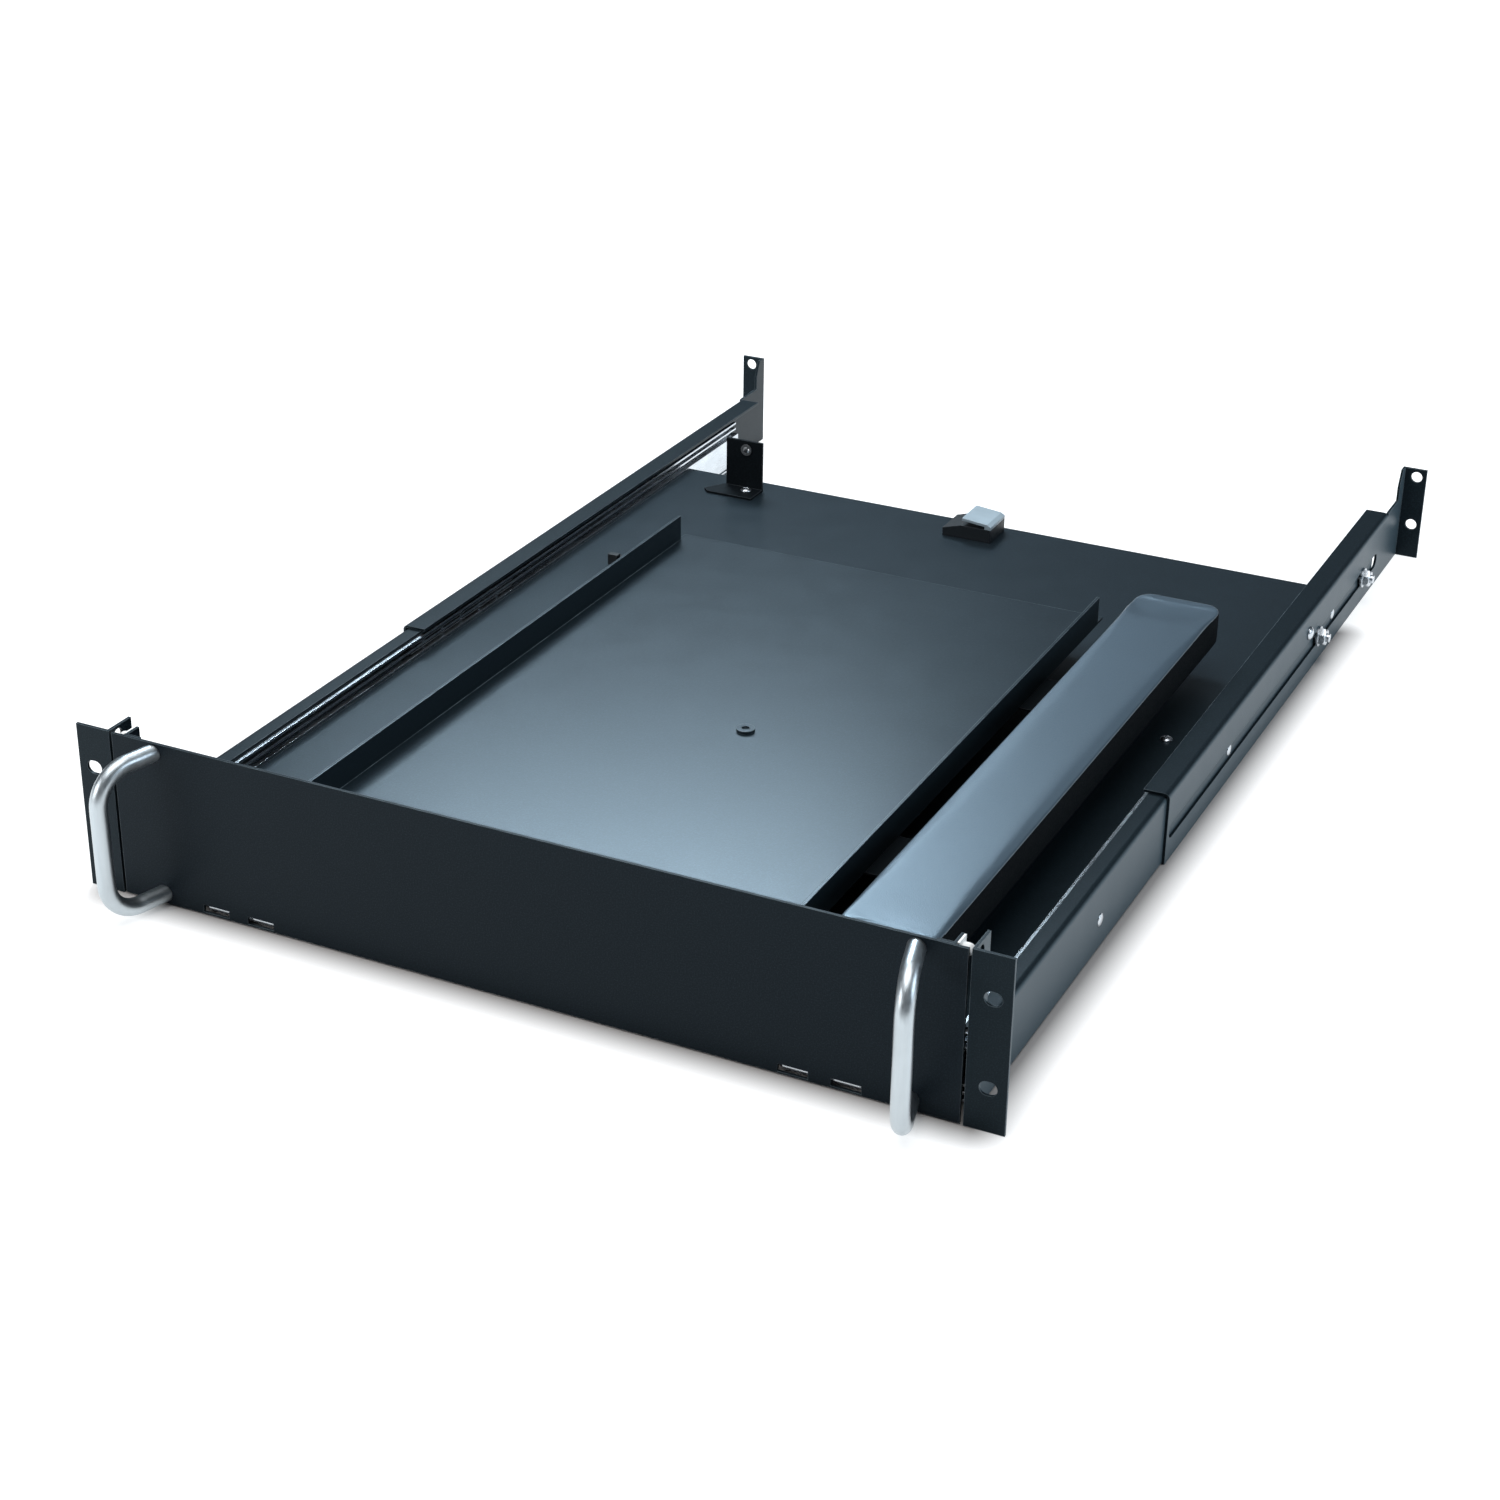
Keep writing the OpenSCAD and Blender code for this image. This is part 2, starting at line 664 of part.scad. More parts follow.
module handle_screws() color(zinc) from_bottom() both_sides() handle_feet() {
    rod_y(-handle_screw_depth, handle_screw_depth + sheet, handle_screw_r);
    rod_y(sheet, handle_screw_head_t, handle_screw_head_r);
}

// hinges: the fixed leaf is riveted to the tray, the moving leaf is welded to the panel
module knuckle(start, length) {
    translate([0, hinge_y, hinge_z]) difference() {
        rod_x(start, length, knuckle_r);
        rod_x(start - over, length + over * 2, pin_r + fit_gap);
    }
}
module fixed_leaf() {
    side_w = (hinge_w - mid_knuckle_w) / 2 - side_gap;
    difference() {
        union() {
            for (side = [0, 1]) translate([hinge_x, 0, 0]) mirror([side, 0, 0]) {
                knuckle(hinge_w / 2 - side_w, side_w);
                translate([hinge_w / 2 - side_w, apron_y - leaf_t, hinge_z])
                    cube([side_w, leaf_t, leaf_top - hinge_z]);
            }
            translate([hinge_x - hinge_w / 2, apron_y - leaf_t, hinge_z + knuckle_r + knuckle_relief])
                cube([hinge_w, leaf_t, leaf_top - hinge_z - knuckle_r - knuckle_relief]);
        }
        hinge_rivet_spots() rod_y(apron_y - leaf_t - over, leaf_t + over * 2, hinge_rivet_r);
    }
}
module moving_leaf() {
    translate([hinge_x, 0, 0]) {
        knuckle(-mid_knuckle_w / 2, mid_knuckle_w);
        translate([-mid_knuckle_w / 2, sheet, hinge_z]) cube([mid_knuckle_w, leaf_t, leaf_top - hinge_z]);
        translate([-hinge_w / 2, sheet, hinge_z + knuckle_r + knuckle_relief])
            cube([hinge_w, leaf_t, leaf_top - hinge_z - knuckle_r - knuckle_relief]);
    }
}
module right_fixed_leaf() color(zinc) from_bottom() fixed_leaf();
module left_fixed_leaf() color(zinc) from_bottom() mirror([1, 0, 0]) fixed_leaf();
module right_moving_leaf() color(zinc) from_bottom() moving_leaf();
module left_moving_leaf() color(zinc) from_bottom() mirror([1, 0, 0]) moving_leaf();
module hinge_pins() color(steel) from_bottom() both_sides()
    translate([hinge_x, hinge_y, hinge_z]) rod_x(-hinge_w / 2, hinge_w, pin_r);
module hinge_rivets() color(zinc) from_bottom() both_sides() hinge_rivet_spots() {
    rod_y(apron_y - leaf_t, leaf_t + sheet, hinge_rivet_r);
    rod_y(apron_y - leaf_t - hinge_rivet_head_t, hinge_rivet_head_t, hinge_rivet_head_r);
    rod_y(apron_y + sheet, hinge_rivet_head_t, hinge_rivet_head_r);
}

// turntable
module at_pivot() { translate([pivot_x, pivot_y, 0]) children(); }
module pedestal_spots() {
    at_pivot() for (i = [0 : pedestal_rivet_count - 1])
        rotate([0, 0, (i + 1 / 2) * 360 / pedestal_rivet_count])
            translate([pedestal_hole_r, 0, 0]) children();
}
module ball_spots() {
    at_pivot() for (i = [0 : ball_count - 1]) rotate([0, 0, i * 360 / ball_count])
        translate([race_circle_r, 0, ball_z]) children();
}
module turntable_pedestal() color(zinc) from_bottom() difference() {
    at_pivot() rotate_extrude($fn = round_faces) polygon([
        [bolt_r + fit_gap, pedestal_top], [pedestal_r, pedestal_top], [pedestal_r, floor_z + sheet],
        [pedestal_foot_r, floor_z + sheet], [pedestal_foot_r, floor_z], [pedestal_r - sheet, floor_z],
        [pedestal_r - sheet, pedestal_top - sheet], [bolt_r + fit_gap, pedestal_top - sheet]]);
    pedestal_spots() rod_z(floor_z - over, sheet + over * 2, pedestal_rivet_r);
}
module pedestal_rivets() color(zinc) from_bottom() pedestal_spots() {
    rod_z(floor_z - sheet, sheet * 2, pedestal_rivet_r);
    rod_z(floor_z + sheet, pedestal_rivet_head_t, pedestal_rivet_head_r);
    rod_z(floor_z - sheet - pedestal_rivet_head_t, pedestal_rivet_head_t, pedestal_rivet_head_r);
}
module race_ring(low, high) {
    at_pivot() rotate_extrude($fn = round_faces) difference() {
        translate([race_circle_r - ring_half_w, low]) square([ring_half_w * 2, high - low]);
        translate([race_circle_r, ball_z]) circle(r = race_r, $fn = round_faces);
    }
}
module lower_ring() color(zinc) from_bottom() race_ring(pedestal_top, lower_ring_top);
module upper_ring() color(zinc) from_bottom() race_ring(upper_ring_low, pan_low);
module ring_cage() color(grey_plastic) from_bottom() difference() {
    at_pivot() rotate_extrude($fn = round_faces)
        translate([race_circle_r - ring_cage_half_w, ball_z - ring_cage_t / 2])
            square([ring_cage_half_w * 2, ring_cage_t]);
    ball_spots() rod_z(-ring_cage_t, ring_cage_t * 2, race_r);
}
module ring_balls() color(satin) from_bottom() ball_spots() sphere(r = ball_r, $fn = round_faces);
module pivot_bolt() color(coat_grey) from_bottom() at_pivot() difference() {
    union() {
        rod_z(bolt_nut_z - bolt_tail, bolt_head_z - bolt_nut_z + bolt_tail, bolt_r);
        rod_z(bolt_head_z, bolt_head_t, bolt_head_r);
    }
    translate([0, 0, bolt_head_z + bolt_head_t - bolt_socket_t])
        cylinder(r = bolt_socket_r, h = bolt_socket_t + over, $fn = 6);
}
module pivot_washer() color(zinc) from_bottom() at_pivot() difference() {
    rod_z(bolt_nut_z + bolt_nut_t, bolt_washer_t, bolt_washer_r);
    rod_z(bolt_nut_z, bolt_nut_t + bolt_washer_t + over, bolt_r + fit_gap);
}
module pivot_nut() color(zinc) from_bottom() at_pivot() difference() {
    translate([0, 0, bolt_nut_z]) cylinder(r = bolt_nut_flat / sqrt(3), h = bolt_nut_t, $fn = 6);
    rod_z(bolt_nut_z - over, bolt_nut_t + over * 2, bolt_r + fit_gap);
}

// platform
module keyboard_platform() color(coat_grey) from_bottom() difference() {
    union() {
        translate([-pan_left, pan_front, pan_low]) cube([pan_left + pan_right, pan_rear - pan_front, sheet]);
        for (x = [-pan_left, pan_right - sheet]) translate([x, pan_front, pan_low])
            cube([sheet, pan_rear - pan_front - lip_end, sheet + lip_h]);
    }
    at_pivot() rod_z(pan_low - over, sheet + over * 2, bolt_r + turn_gap);
}
module rest_bracket() color(coat) from_bottom() difference() {
    union() {
        translate([rest_left + bracket_inset, rest_front + bracket_end, pan_low - bracket_t])
            cube([rest_w - bracket_inset * 2, rest_rear - rest_front - bracket_end * 2, bracket_t]);
        for (y = tongue_places) translate([tongue_left, y, pan_low - bracket_t])
            cube([rest_left + rest_w / 2 - tongue_left, tongue_w, bracket_t]);
    }
    rest_screw_spots() countersink(fit_gap);
}
module rest_screw_spots() {
    for (y = rest_screw_places) translate([rest_screw_x, y, pan_low - bracket_t]) children();
}
module countersink(gap) {
    cylinder(r1 = rest_screw_head_r + gap, r2 = rest_screw_r + gap, h = bracket_t, $fn = round_faces);
}
module rest_profile() {
    difference() {
        square([rest_corner_r, rest_h]);
        translate([rest_corner_r - rest_edge_r, rest_h - rest_edge_r]) difference() {
            square([rest_edge_r + over, rest_edge_r + over]);
            circle(r = rest_edge_r, $fn = round_faces);
        }
    }
}
module wrist_rest() color(cushion_grey) from_bottom() difference() {
    translate([rest_left, rest_front, pan_low]) {
        wide = rest_w - rest_corner_r * 2;
        long = rest_rear - rest_front - rest_corner_r * 2;
        for (x = [0, 1]) for (y = [0, 1])
            translate([rest_corner_r + x * wide, rest_corner_r + y * long, 0])
                mirror([1 - x, 0, 0]) mirror([0, 1 - y, 0])
                    rotate_extrude(angle = 90, $fn = round_faces) rest_profile();
        translate([rest_corner_r, rest_corner_r, 0]) cube([wide, long, rest_h]);
        for (x = [0, 1]) translate([rest_corner_r + x * wide, rest_corner_r + long, 0])
            mirror([1 - x, 0, 0]) rotate([90, 0, 0]) linear_extrude(long) rest_profile();
        for (y = [0, 1]) translate([rest_corner_r, rest_corner_r + y * long, 0])
            mirror([0, 1 - y, 0]) rotate([90, 0, 90]) linear_extrude(wide) rest_profile();
    }
    rest_screw_spots() rod_z(0, rest_screw_l + over, rest_screw_r + fit_gap);
    for (turn = rest_slant_turns)
        translate([rest_left + rest_w - rest_corner_r, rest_front + rest_corner_r, rest_slant_top])
            rotate([0, 0, turn]) translate([0, -rest_corner_r, 0]) rotate([rest_slant, 0, 0])
                translate([-rest_w, -rest_w, -rest_w]) cube([rest_w * 2, rest_w, rest_w + rest_slant_drop]);
}
module rest_screws() color(zinc) from_bottom() rest_screw_spots() {
    countersink(0);
    rod_z(bracket_t, rest_screw_l - bracket_t, rest_screw_r);
}

// small parts on the tray floor
module platform_stop() color(dark_plastic) from_bottom() {
    translate([stop_x - stop_w / 2, stop_y - stop_l / 2, floor_z]) cube([stop_w, stop_l, stop_h - stop_step]);
    translate([stop_x - stop_w / 2, stop_y - stop_l / 2, floor_z]) cube([stop_w, stop_l / 2, stop_h]);
}
module cable_arm_bracket() color(coat) from_bottom() difference() {
    union() {
        translate([arm_x - arm_w / 2, arm_y - sheet, floor_z]) cube([arm_w, sheet, arm_h]);
        translate([0, 0, floor_z]) linear_extrude(sheet) polygon([
            [arm_x + arm_w / 2, arm_y], [arm_x + arm_w / 2, arm_y - arm_foot_l],
            [arm_x - arm_w / 2 - arm_foot_side + arm_foot_corner, arm_y - arm_foot_l],
            [arm_x - arm_w / 2 - arm_foot_side, arm_y - arm_foot_l + arm_foot_corner],
            [arm_x - arm_w / 2, arm_y]]);
    }
    arm_hole() rod_y(arm_y - sheet - over, sheet + over * 2, eyelet_r);
    translate([arm_x + arm_screw_side, arm_y - arm_screw_y, 0])
        rod_z(floor_z - over, sheet + over * 2, screw_r + fit_gap);
}
module arm_hole() {
    translate([arm_x + arm_hole_side, 0, floor_z + arm_h - arm_hole_drop]) children();
}
module arm_eyelet() color(steel) from_bottom() arm_hole() difference() {
    union() {
        rod_y(arm_y - sheet, sheet + eyelet_back_l, eyelet_r);
        rod_y(arm_y - sheet - eyelet_flange_t, eyelet_flange_t, eyelet_flange_r);
    }
    rod_y(arm_y - sheet - eyelet_flange_t - over, sheet + eyelet_flange_t + eyelet_back_l + over * 2,
        eyelet_bore_r);
}
module arm_screw() color(zinc) from_bottom() translate([arm_x + arm_screw_side, arm_y - arm_screw_y, sheet]) {
    rod_z(floor_z - screw_tail - sheet, screw_tail + sheet, screw_r);
    rod_z(floor_z, screw_head_t, screw_head_r);
}
module clip_part(points) {
    along_y(clip_y - clip_l / 2, clip_l) translate([clip_right, floor_z]) polygon(points);
}
module cable_clip_base() color(dark_plastic) from_bottom() clip_part([
    [-clip_w, 0], [0, 0], [0, clip_base_h], [clip_tail_w - clip_w, clip_base_h], [-clip_w, clip_tail_h]]);
module cable_clip_top() color(grey_plastic) from_bottom() translate([0, 0, clip_base_h]) clip_part([
    [-clip_leaf_foot, 0], [0, 0], [0, clip_leaf_edge], [-clip_leaf_corner, clip_leaf_shoulder],
    [-clip_leaf_w, clip_leaf_rise], [-clip_leaf_w, clip_leaf_rise - clip_leaf_t],
    [-clip_leaf_foot, clip_leaf_shoulder - clip_leaf_t]]);

left_front_bracket();
right_front_bracket();
left_rear_bracket();
right_rear_bracket();
rail_studs();
rail_washers();
rail_nuts();
rail_rivets();
slide_rivets();
left_outer_slide();
right_outer_slide();
left_middle_slide();
right_middle_slide();
left_inner_slide();
right_inner_slide();
outer_ball_cages();
inner_ball_cages();
outer_cage_balls();
inner_cage_balls();
slide_screws();
floor_tray();
floor_screw();
front_panel();
left_panel_angle();
right_panel_angle();
left_panel_catch();
right_panel_catch();
catch_rivets();
left_handle();
right_handle();
handle_screws();
left_fixed_leaf();
right_fixed_leaf();
left_moving_leaf();
right_moving_leaf();
hinge_pins();
hinge_rivets();
turntable_pedestal();
pedestal_rivets();
lower_ring();
upper_ring();
ring_cage();
ring_balls();
pivot_bolt();
pivot_washer();
pivot_nut();
keyboard_platform();
rest_bracket();
wrist_rest();
rest_screws();
platform_stop();
cable_arm_bracket();
arm_eyelet();
arm_screw();
cable_clip_base();
cable_clip_top();
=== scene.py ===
"""The looks of a two-unit rack keyboard drawer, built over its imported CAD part."""
import json
import math

import bmesh
import bpy
from mathutils import Matrix, Vector


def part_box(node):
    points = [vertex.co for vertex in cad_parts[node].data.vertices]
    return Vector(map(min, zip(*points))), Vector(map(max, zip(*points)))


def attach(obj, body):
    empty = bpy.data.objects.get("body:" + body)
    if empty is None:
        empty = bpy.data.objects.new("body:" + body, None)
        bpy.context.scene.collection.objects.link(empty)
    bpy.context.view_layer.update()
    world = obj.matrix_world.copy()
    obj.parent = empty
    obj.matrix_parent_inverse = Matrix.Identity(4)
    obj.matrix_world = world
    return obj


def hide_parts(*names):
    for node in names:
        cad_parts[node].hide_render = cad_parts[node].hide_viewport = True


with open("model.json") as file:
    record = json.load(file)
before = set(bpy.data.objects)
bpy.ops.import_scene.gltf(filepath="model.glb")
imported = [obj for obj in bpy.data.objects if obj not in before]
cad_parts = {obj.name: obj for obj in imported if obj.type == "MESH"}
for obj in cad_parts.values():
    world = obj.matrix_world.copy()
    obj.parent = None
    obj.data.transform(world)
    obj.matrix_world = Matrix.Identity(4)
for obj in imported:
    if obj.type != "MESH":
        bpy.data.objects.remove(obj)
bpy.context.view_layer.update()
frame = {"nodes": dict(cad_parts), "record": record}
nodes = frame["nodes"]

MM = 0.001
EAR_BOTTOM = -44.05                      # underside of the ears in mm; the floor lies under it

# Camera at the photograph's angle

AZIMUTH, ELEVATION, ROLL = 25.7013, 26.5673, 0.7803
TARGET = Vector((21.857, 200.0, 1.442)) * MM
DISTANCE = 1420.05 * MM
LENS = 67.0786
SENSOR = 36.0


def make_camera():
    a, e, r = (math.radians(v) for v in (AZIMUTH, ELEVATION, ROLL))
    back = Vector((math.sin(a) * math.cos(e), -math.cos(a) * math.cos(e), math.sin(e)))
    right = (-back).cross(Vector((0, 0, 1))).normalized()
    up = right.cross(-back)
    right, up = (math.cos(r) * right + math.sin(r) * up,
                 math.cos(r) * up - math.sin(r) * right)
    turn = Matrix((right, up, back)).transposed().to_4x4()
    data = bpy.data.cameras.new("camera")
    data.lens, data.sensor_width = LENS, SENSOR
    data.clip_start, data.clip_end = 0.01, 50.0
    cam = bpy.data.objects.new("camera", data)
    cam.matrix_world = Matrix.Translation(TARGET + back * DISTANCE) @ turn
    bpy.context.scene.collection.objects.link(cam)
    bpy.context.scene.camera = cam


make_camera()

# Finishes

BLUE_SHEEN = (0.60, 0.83, 1.0)           # tint of the coats' and the skin's reflections
BEVEL_SAMPLES = 6
NOISE_LOW, NOISE_HIGH = 0.3, 0.7         # the range that holds most of a noise's values


class Finish:
    """Writes the node tree of one material."""

    def __init__(self, name):
        self.mat = bpy.data.materials.new(name)
        self.mat.use_nodes = True
        self.tree = self.mat.node_tree
        self.tree.nodes.clear()
        self.out = self.add("ShaderNodeOutputMaterial")
        self.bsdf = self.add("ShaderNodeBsdfPrincipled")
        self.join(self.bsdf.outputs[0], self.out.inputs[0])
        self.coords = self.add("ShaderNodeTexCoord")

    def add(self, kind, **values):
        node = self.tree.nodes.new(kind)
        for key, value in values.items():
            setattr(node, key, value)
        return node

    def join(self, a, b):
        self.tree.links.new(a, b)

    def put(self, socket, value):
        if isinstance(value, bpy.types.NodeSocket):
            self.join(value, socket)
        else:
            socket.default_value = value

    def fixed(self, **values):
        """Values that are the same all over, set on the shader's own sockets."""
        for name, value in values.items():
            self.bsdf.inputs[name.replace("_", " ")].default_value = value

    def noise(self, scale, detail=3.0, rough=0.55, stretch=(1, 1, 1)):
        place = self.add("ShaderNodeMapping")
        self.join(self.coords.outputs["Object"], place.inputs["Vector"])
        place.inputs["Scale"].default_value = stretch
        node = self.add("ShaderNodeTexNoise")
        self.join(place.outputs[0], node.inputs["Vector"])
        node.inputs["Scale"].default_value = scale
        node.inputs["Detail"].default_value = detail
        node.inputs["Roughness"].default_value = rough
        return node.outputs["Fac"]

    def grain_cells(self, scale):
        node = self.add("ShaderNodeTexVoronoi", feature="F1")
        self.join(self.coords.outputs["Object"], node.inputs["Vector"])
        node.inputs["Scale"].default_value = scale
        return node.outputs["Distance"]

    def beside(self, middle, half):
        """The distance from a box, which is zero inside it."""
        spot = self.coords.outputs["Object"]
        for operation, other in (("SUBTRACT", middle), ("ABSOLUTE", None), ("SUBTRACT", half),
                                 ("MAXIMUM", (0.0, 0.0, 0.0)), ("LENGTH", None)):
            node = self.add("ShaderNodeVectorMath", operation=operation)
            self.join(spot, node.inputs[0])
            if other is not None:
                node.inputs[1].default_value = other
            spot = node.outputs["Value" if operation == "LENGTH" else "Vector"]
        return spot

    def span(self, value, low, high, new_low, new_high):
        node = self.add("ShaderNodeMapRange")
        self.put(node.inputs["Value"], value)
        for name, v in (("From Min", low), ("From Max", high),
                        ("To Min", new_low), ("To Max", new_high)):
            node.inputs[name].default_value = v
        return node.outputs[0]

    def maths(self, kind, a, b=0.0):
        node = self.add("ShaderNodeMath", operation=kind)
        self.put(node.inputs[0], a)
        self.put(node.inputs[1], b)
        return node.outputs[0]

    def mix(self, factor, a, b):
        node = self.add("ShaderNodeMix", data_type="RGBA")
        self.put(node.inputs["Factor"], factor)
        colour_a, colour_b = [s for s in node.inputs if s.type == "RGBA"]
        self.put(colour_a, (*a, 1.0) if isinstance(a, tuple) else a)
        self.put(colour_b, (*b, 1.0) if isinstance(b, tuple) else b)
        return [s for s in node.outputs if s.type == "RGBA"][0]

    def outward_sides(self):
        """1 on the faces that look sideways and away from the middle of the part, 0 elsewhere."""
        parts = []
        normal = self.add("ShaderNodeNewGeometry").outputs["Normal"]
        for source in (normal, self.coords.outputs["Object"]):
            split = self.add("ShaderNodeSeparateXYZ")
            self.join(source, split.inputs[0])
            parts.append(split.outputs["X"])
        look, side = parts
        outward = self.maths("MULTIPLY", look, self.maths("SIGN", side))
        return self.span(outward, 0.6, 0.95, 0.0, 1.0)

    def rounded(self, radius):
        """A normal that rounds off sharp edges, and a mask that is near 1 along them."""
        bevel = self.add("ShaderNodeBevel", samples=BEVEL_SAMPLES)
        bevel.inputs["Radius"].default_value = radius
        flat = self.add("ShaderNodeNewGeometry")
        dot = self.add("ShaderNodeVectorMath", operation="DOT_PRODUCT")
        self.join(bevel.outputs[0], dot.inputs[0])
        self.join(flat.outputs["Normal"], dot.inputs[1])
        return bevel.outputs[0], self.span(dot.outputs["Value"], 1.0, 0.85, 0.0, 1.0)

    def bump(self, height, strength, distance, normal=None):
        node = self.add("ShaderNodeBump")
        node.inputs["Strength"].default_value = strength
        node.inputs["Distance"].default_value = distance
        self.join(height, node.inputs["Height"])
        if normal is not None:
            self.join(normal, node.inputs["Normal"])
        self.join(node.outputs[0], self.bsdf.inputs["Normal"])


def powder_coat(name, colour, worn_and_lit, rough, grain, shine, painted_lit_outside=None):
    """Fine textured coat: speckled, a little cloudy, and lighter along its edges, partly worn
    thin and partly a painted edge highlight.
    Faces that look away from the middle of the part take a lighter colour, if one is given:
    painted light that stands in for the bright floor those faces reflect."""
    s = Finish(name)
    normal, edge = s.rounded(0.5 * MM)
    # Lighter along the edges: the coat worn thin, with a painted edge highlight.
    wear_and_highlight = s.maths("MULTIPLY", edge, s.span(s.noise(90.0), 0.35, 0.7, 0.35, 1.0))
    cloud = s.span(s.noise(7.0, 4.0), NOISE_LOW, NOISE_HIGH, 0.0, 1.0)
    speck = s.span(s.noise(grain * 0.9, 1.0), 0.45, 0.75, 0.0, 0.7)
    body = s.mix(cloud, colour, tuple(c * 1.12 for c in colour))
    body = s.mix(speck, body, tuple(c * 2.4 for c in colour))
    if painted_lit_outside is not None:
        # Painted light: the faces that look outward are made lighter in colour.
        body = s.mix(s.outward_sides(), body, painted_lit_outside)
    s.put(s.bsdf.inputs["Base Color"], s.mix(wear_and_highlight, body, worn_and_lit))
    s.put(s.bsdf.inputs["Roughness"],
          s.span(s.noise(45.0, 5.0), NOISE_LOW, NOISE_HIGH, rough - 0.01, rough + 0.015))
    s.fixed(Specular_IOR_Level=shine, Specular_Tint=(*BLUE_SHEEN, 1.0))
    s.bump(s.noise(grain, 2.0, 0.6), 0.16, 0.25 * MM, normal)
    return s.mat


def bright_metal(name, colour, rough, brush=(1, 1, 1), scale=400.0, cloudy=0.1):
    """Plated or polished metal with fine lines and a faint cloud."""
    s = Finish(name)
    normal, edge = s.rounded(0.3 * MM)
    cloud = s.span(s.noise(35.0, 4.0), NOISE_LOW, NOISE_HIGH, 0.0, 1.0)
    body = s.mix(cloud, colour, tuple(c * (1.0 - cloudy * 2.5) for c in colour))
    # Lighter along the edges: rubbed metal, with a painted edge highlight.
    rubbed_and_lit = tuple(min(c * 1.15, 0.95) for c in colour)
    s.put(s.bsdf.inputs["Base Color"], s.mix(edge, body, rubbed_and_lit))
    s.fixed(Metallic=1.0)
    lines = s.noise(scale, 3.0, 0.6, brush)
    s.put(s.bsdf.inputs["Roughness"],
          s.span(lines, NOISE_LOW, NOISE_HIGH, rough - 0.05, rough + 0.08))
    s.bump(lines, 0.12, 0.1 * MM, normal)
    return s.mat


def moulded(name, colour, rough, shine=0.5):
    """Moulded plastic with a fine grain; its edges are painted lighter, a painted highlight for
    slightly polished edges.
    """
    s = Finish(name)
    normal, edge = s.rounded(0.6 * MM)
    cloud = s.span(s.noise(40.0), NOISE_LOW, NOISE_HIGH, 0.0, 1.0)
    body = s.mix(cloud, colour, tuple(c * 1.25 for c in colour))
    # Edges lighter in colour: painted edge highlight.
    s.put(s.bsdf.inputs["Base Color"], s.mix(edge, body, tuple(c * 1.6 for c in colour)))
    s.put(s.bsdf.inputs["Roughness"],
          s.span(s.noise(120.0), NOISE_LOW, NOISE_HIGH, rough - 0.05, rough + 0.06))
    s.fixed(Specular_IOR_Level=shine)
    s.bump(s.noise(900.0), 0.2, 0.15 * MM, normal)
    return s.mat


def leather_skin(name, colour, rough, grain, depth, shine):
    """Stretched leather-like skin: pebbled cells, faint mottling, a soft sheen."""
    s = Finish(name)
    cloud = s.span(s.noise(14.0, 4.0), NOISE_LOW, NOISE_HIGH, 0.0, 1.0)
    cells = s.grain_cells(grain)
    body = s.mix(cloud, colour, tuple(c * 1.18 for c in colour))
    body = s.mix(s.span(cells, 0.15, 0.6, 0.35, 0.0), body, tuple(c * 0.55 for c in colour))
    s.put(s.bsdf.inputs["Base Color"], body)
    s.put(s.bsdf.inputs["Roughness"], s.span(cells, 0.1, 0.7, rough - 0.05, rough + 0.08))
    s.fixed(Specular_IOR_Level=shine, Specular_Tint=(*BLUE_SHEEN, 1.0))
    pores = s.maths("MULTIPLY", s.noise(grain * 2.2), 0.4)
    s.bump(s.maths("ADD", cells, pores), 0.35, depth * MM)
    return s.mat


COAT = powder_coat("black_coat", colour=(0.006, 0.009, 0.012), worn_and_lit=(0.16, 0.20, 0.22),
                   rough=0.40, grain=1500.0, shine=0.12)
# The rails' outward faces are painted lighter, as painted light for the white floor they reflect.
RAIL_COAT = powder_coat("rail_coat", colour=(0.006, 0.010, 0.013), worn_and_lit=(0.20, 0.25, 0.28),
                        rough=0.38, grain=1500.0, shine=0.14, painted_lit_outside=(0.060, 0.090, 0.110))
GREY_COAT = powder_coat("grey_coat", colour=(0.008, 0.013, 0.017), worn_and_lit=(0.26, 0.32, 0.36),
                        rough=0.29, grain=1250.0, shine=0.43)
# Darkest matt coat; on the rest bracket it is painted shade, so that the gap beside the wrist
# rest reads black.
MATT_BLACK_AND_SHADE = powder_coat("matt_black_and_shade_coat", colour=(0.003, 0.004, 0.005), worn_and_lit=(0.08, 0.09, 0.10),
                         rough=0.60, grain=1500.0, shine=0.10)
ZINC = bright_metal("zinc_plate", (0.62, 0.66, 0.70), 0.26, brush=(1, 0.1, 1), scale=300.0)
STEEL = bright_metal("polished_steel", (0.56, 0.58, 0.60), 0.16)
DULL_STEEL = bright_metal("dull_steel", (0.16, 0.17, 0.18), 0.45)
SATIN = bright_metal("satin_aluminium", (0.50, 0.55, 0.58), 0.36, brush=(1, 1, 0.06),
                     scale=700.0, cloudy=0.04)
DARK = moulded("dark_plastic", (0.006, 0.009, 0.012), 0.5, shine=0.3)
LIGHT = moulded("grey_plastic", (0.26, 0.32, 0.36), 0.42)
NYLON = moulded("white_nylon", (0.78, 0.79, 0.78), 0.35)
CUSHION_TOP = leather_skin("cushion_top_skin", (0.040, 0.060, 0.080), rough=0.33,
                           grain=1500.0, depth=0.08, shine=0.9)
# The sides' skin is the top skin darkened and dulled: painted shade.
CUSHION_SHADED_SIDE = leather_skin("cushion_side_painted_shade", (0.003, 0.004, 0.005), rough=0.80,
                            grain=900.0, depth=0.15, shine=0.05)

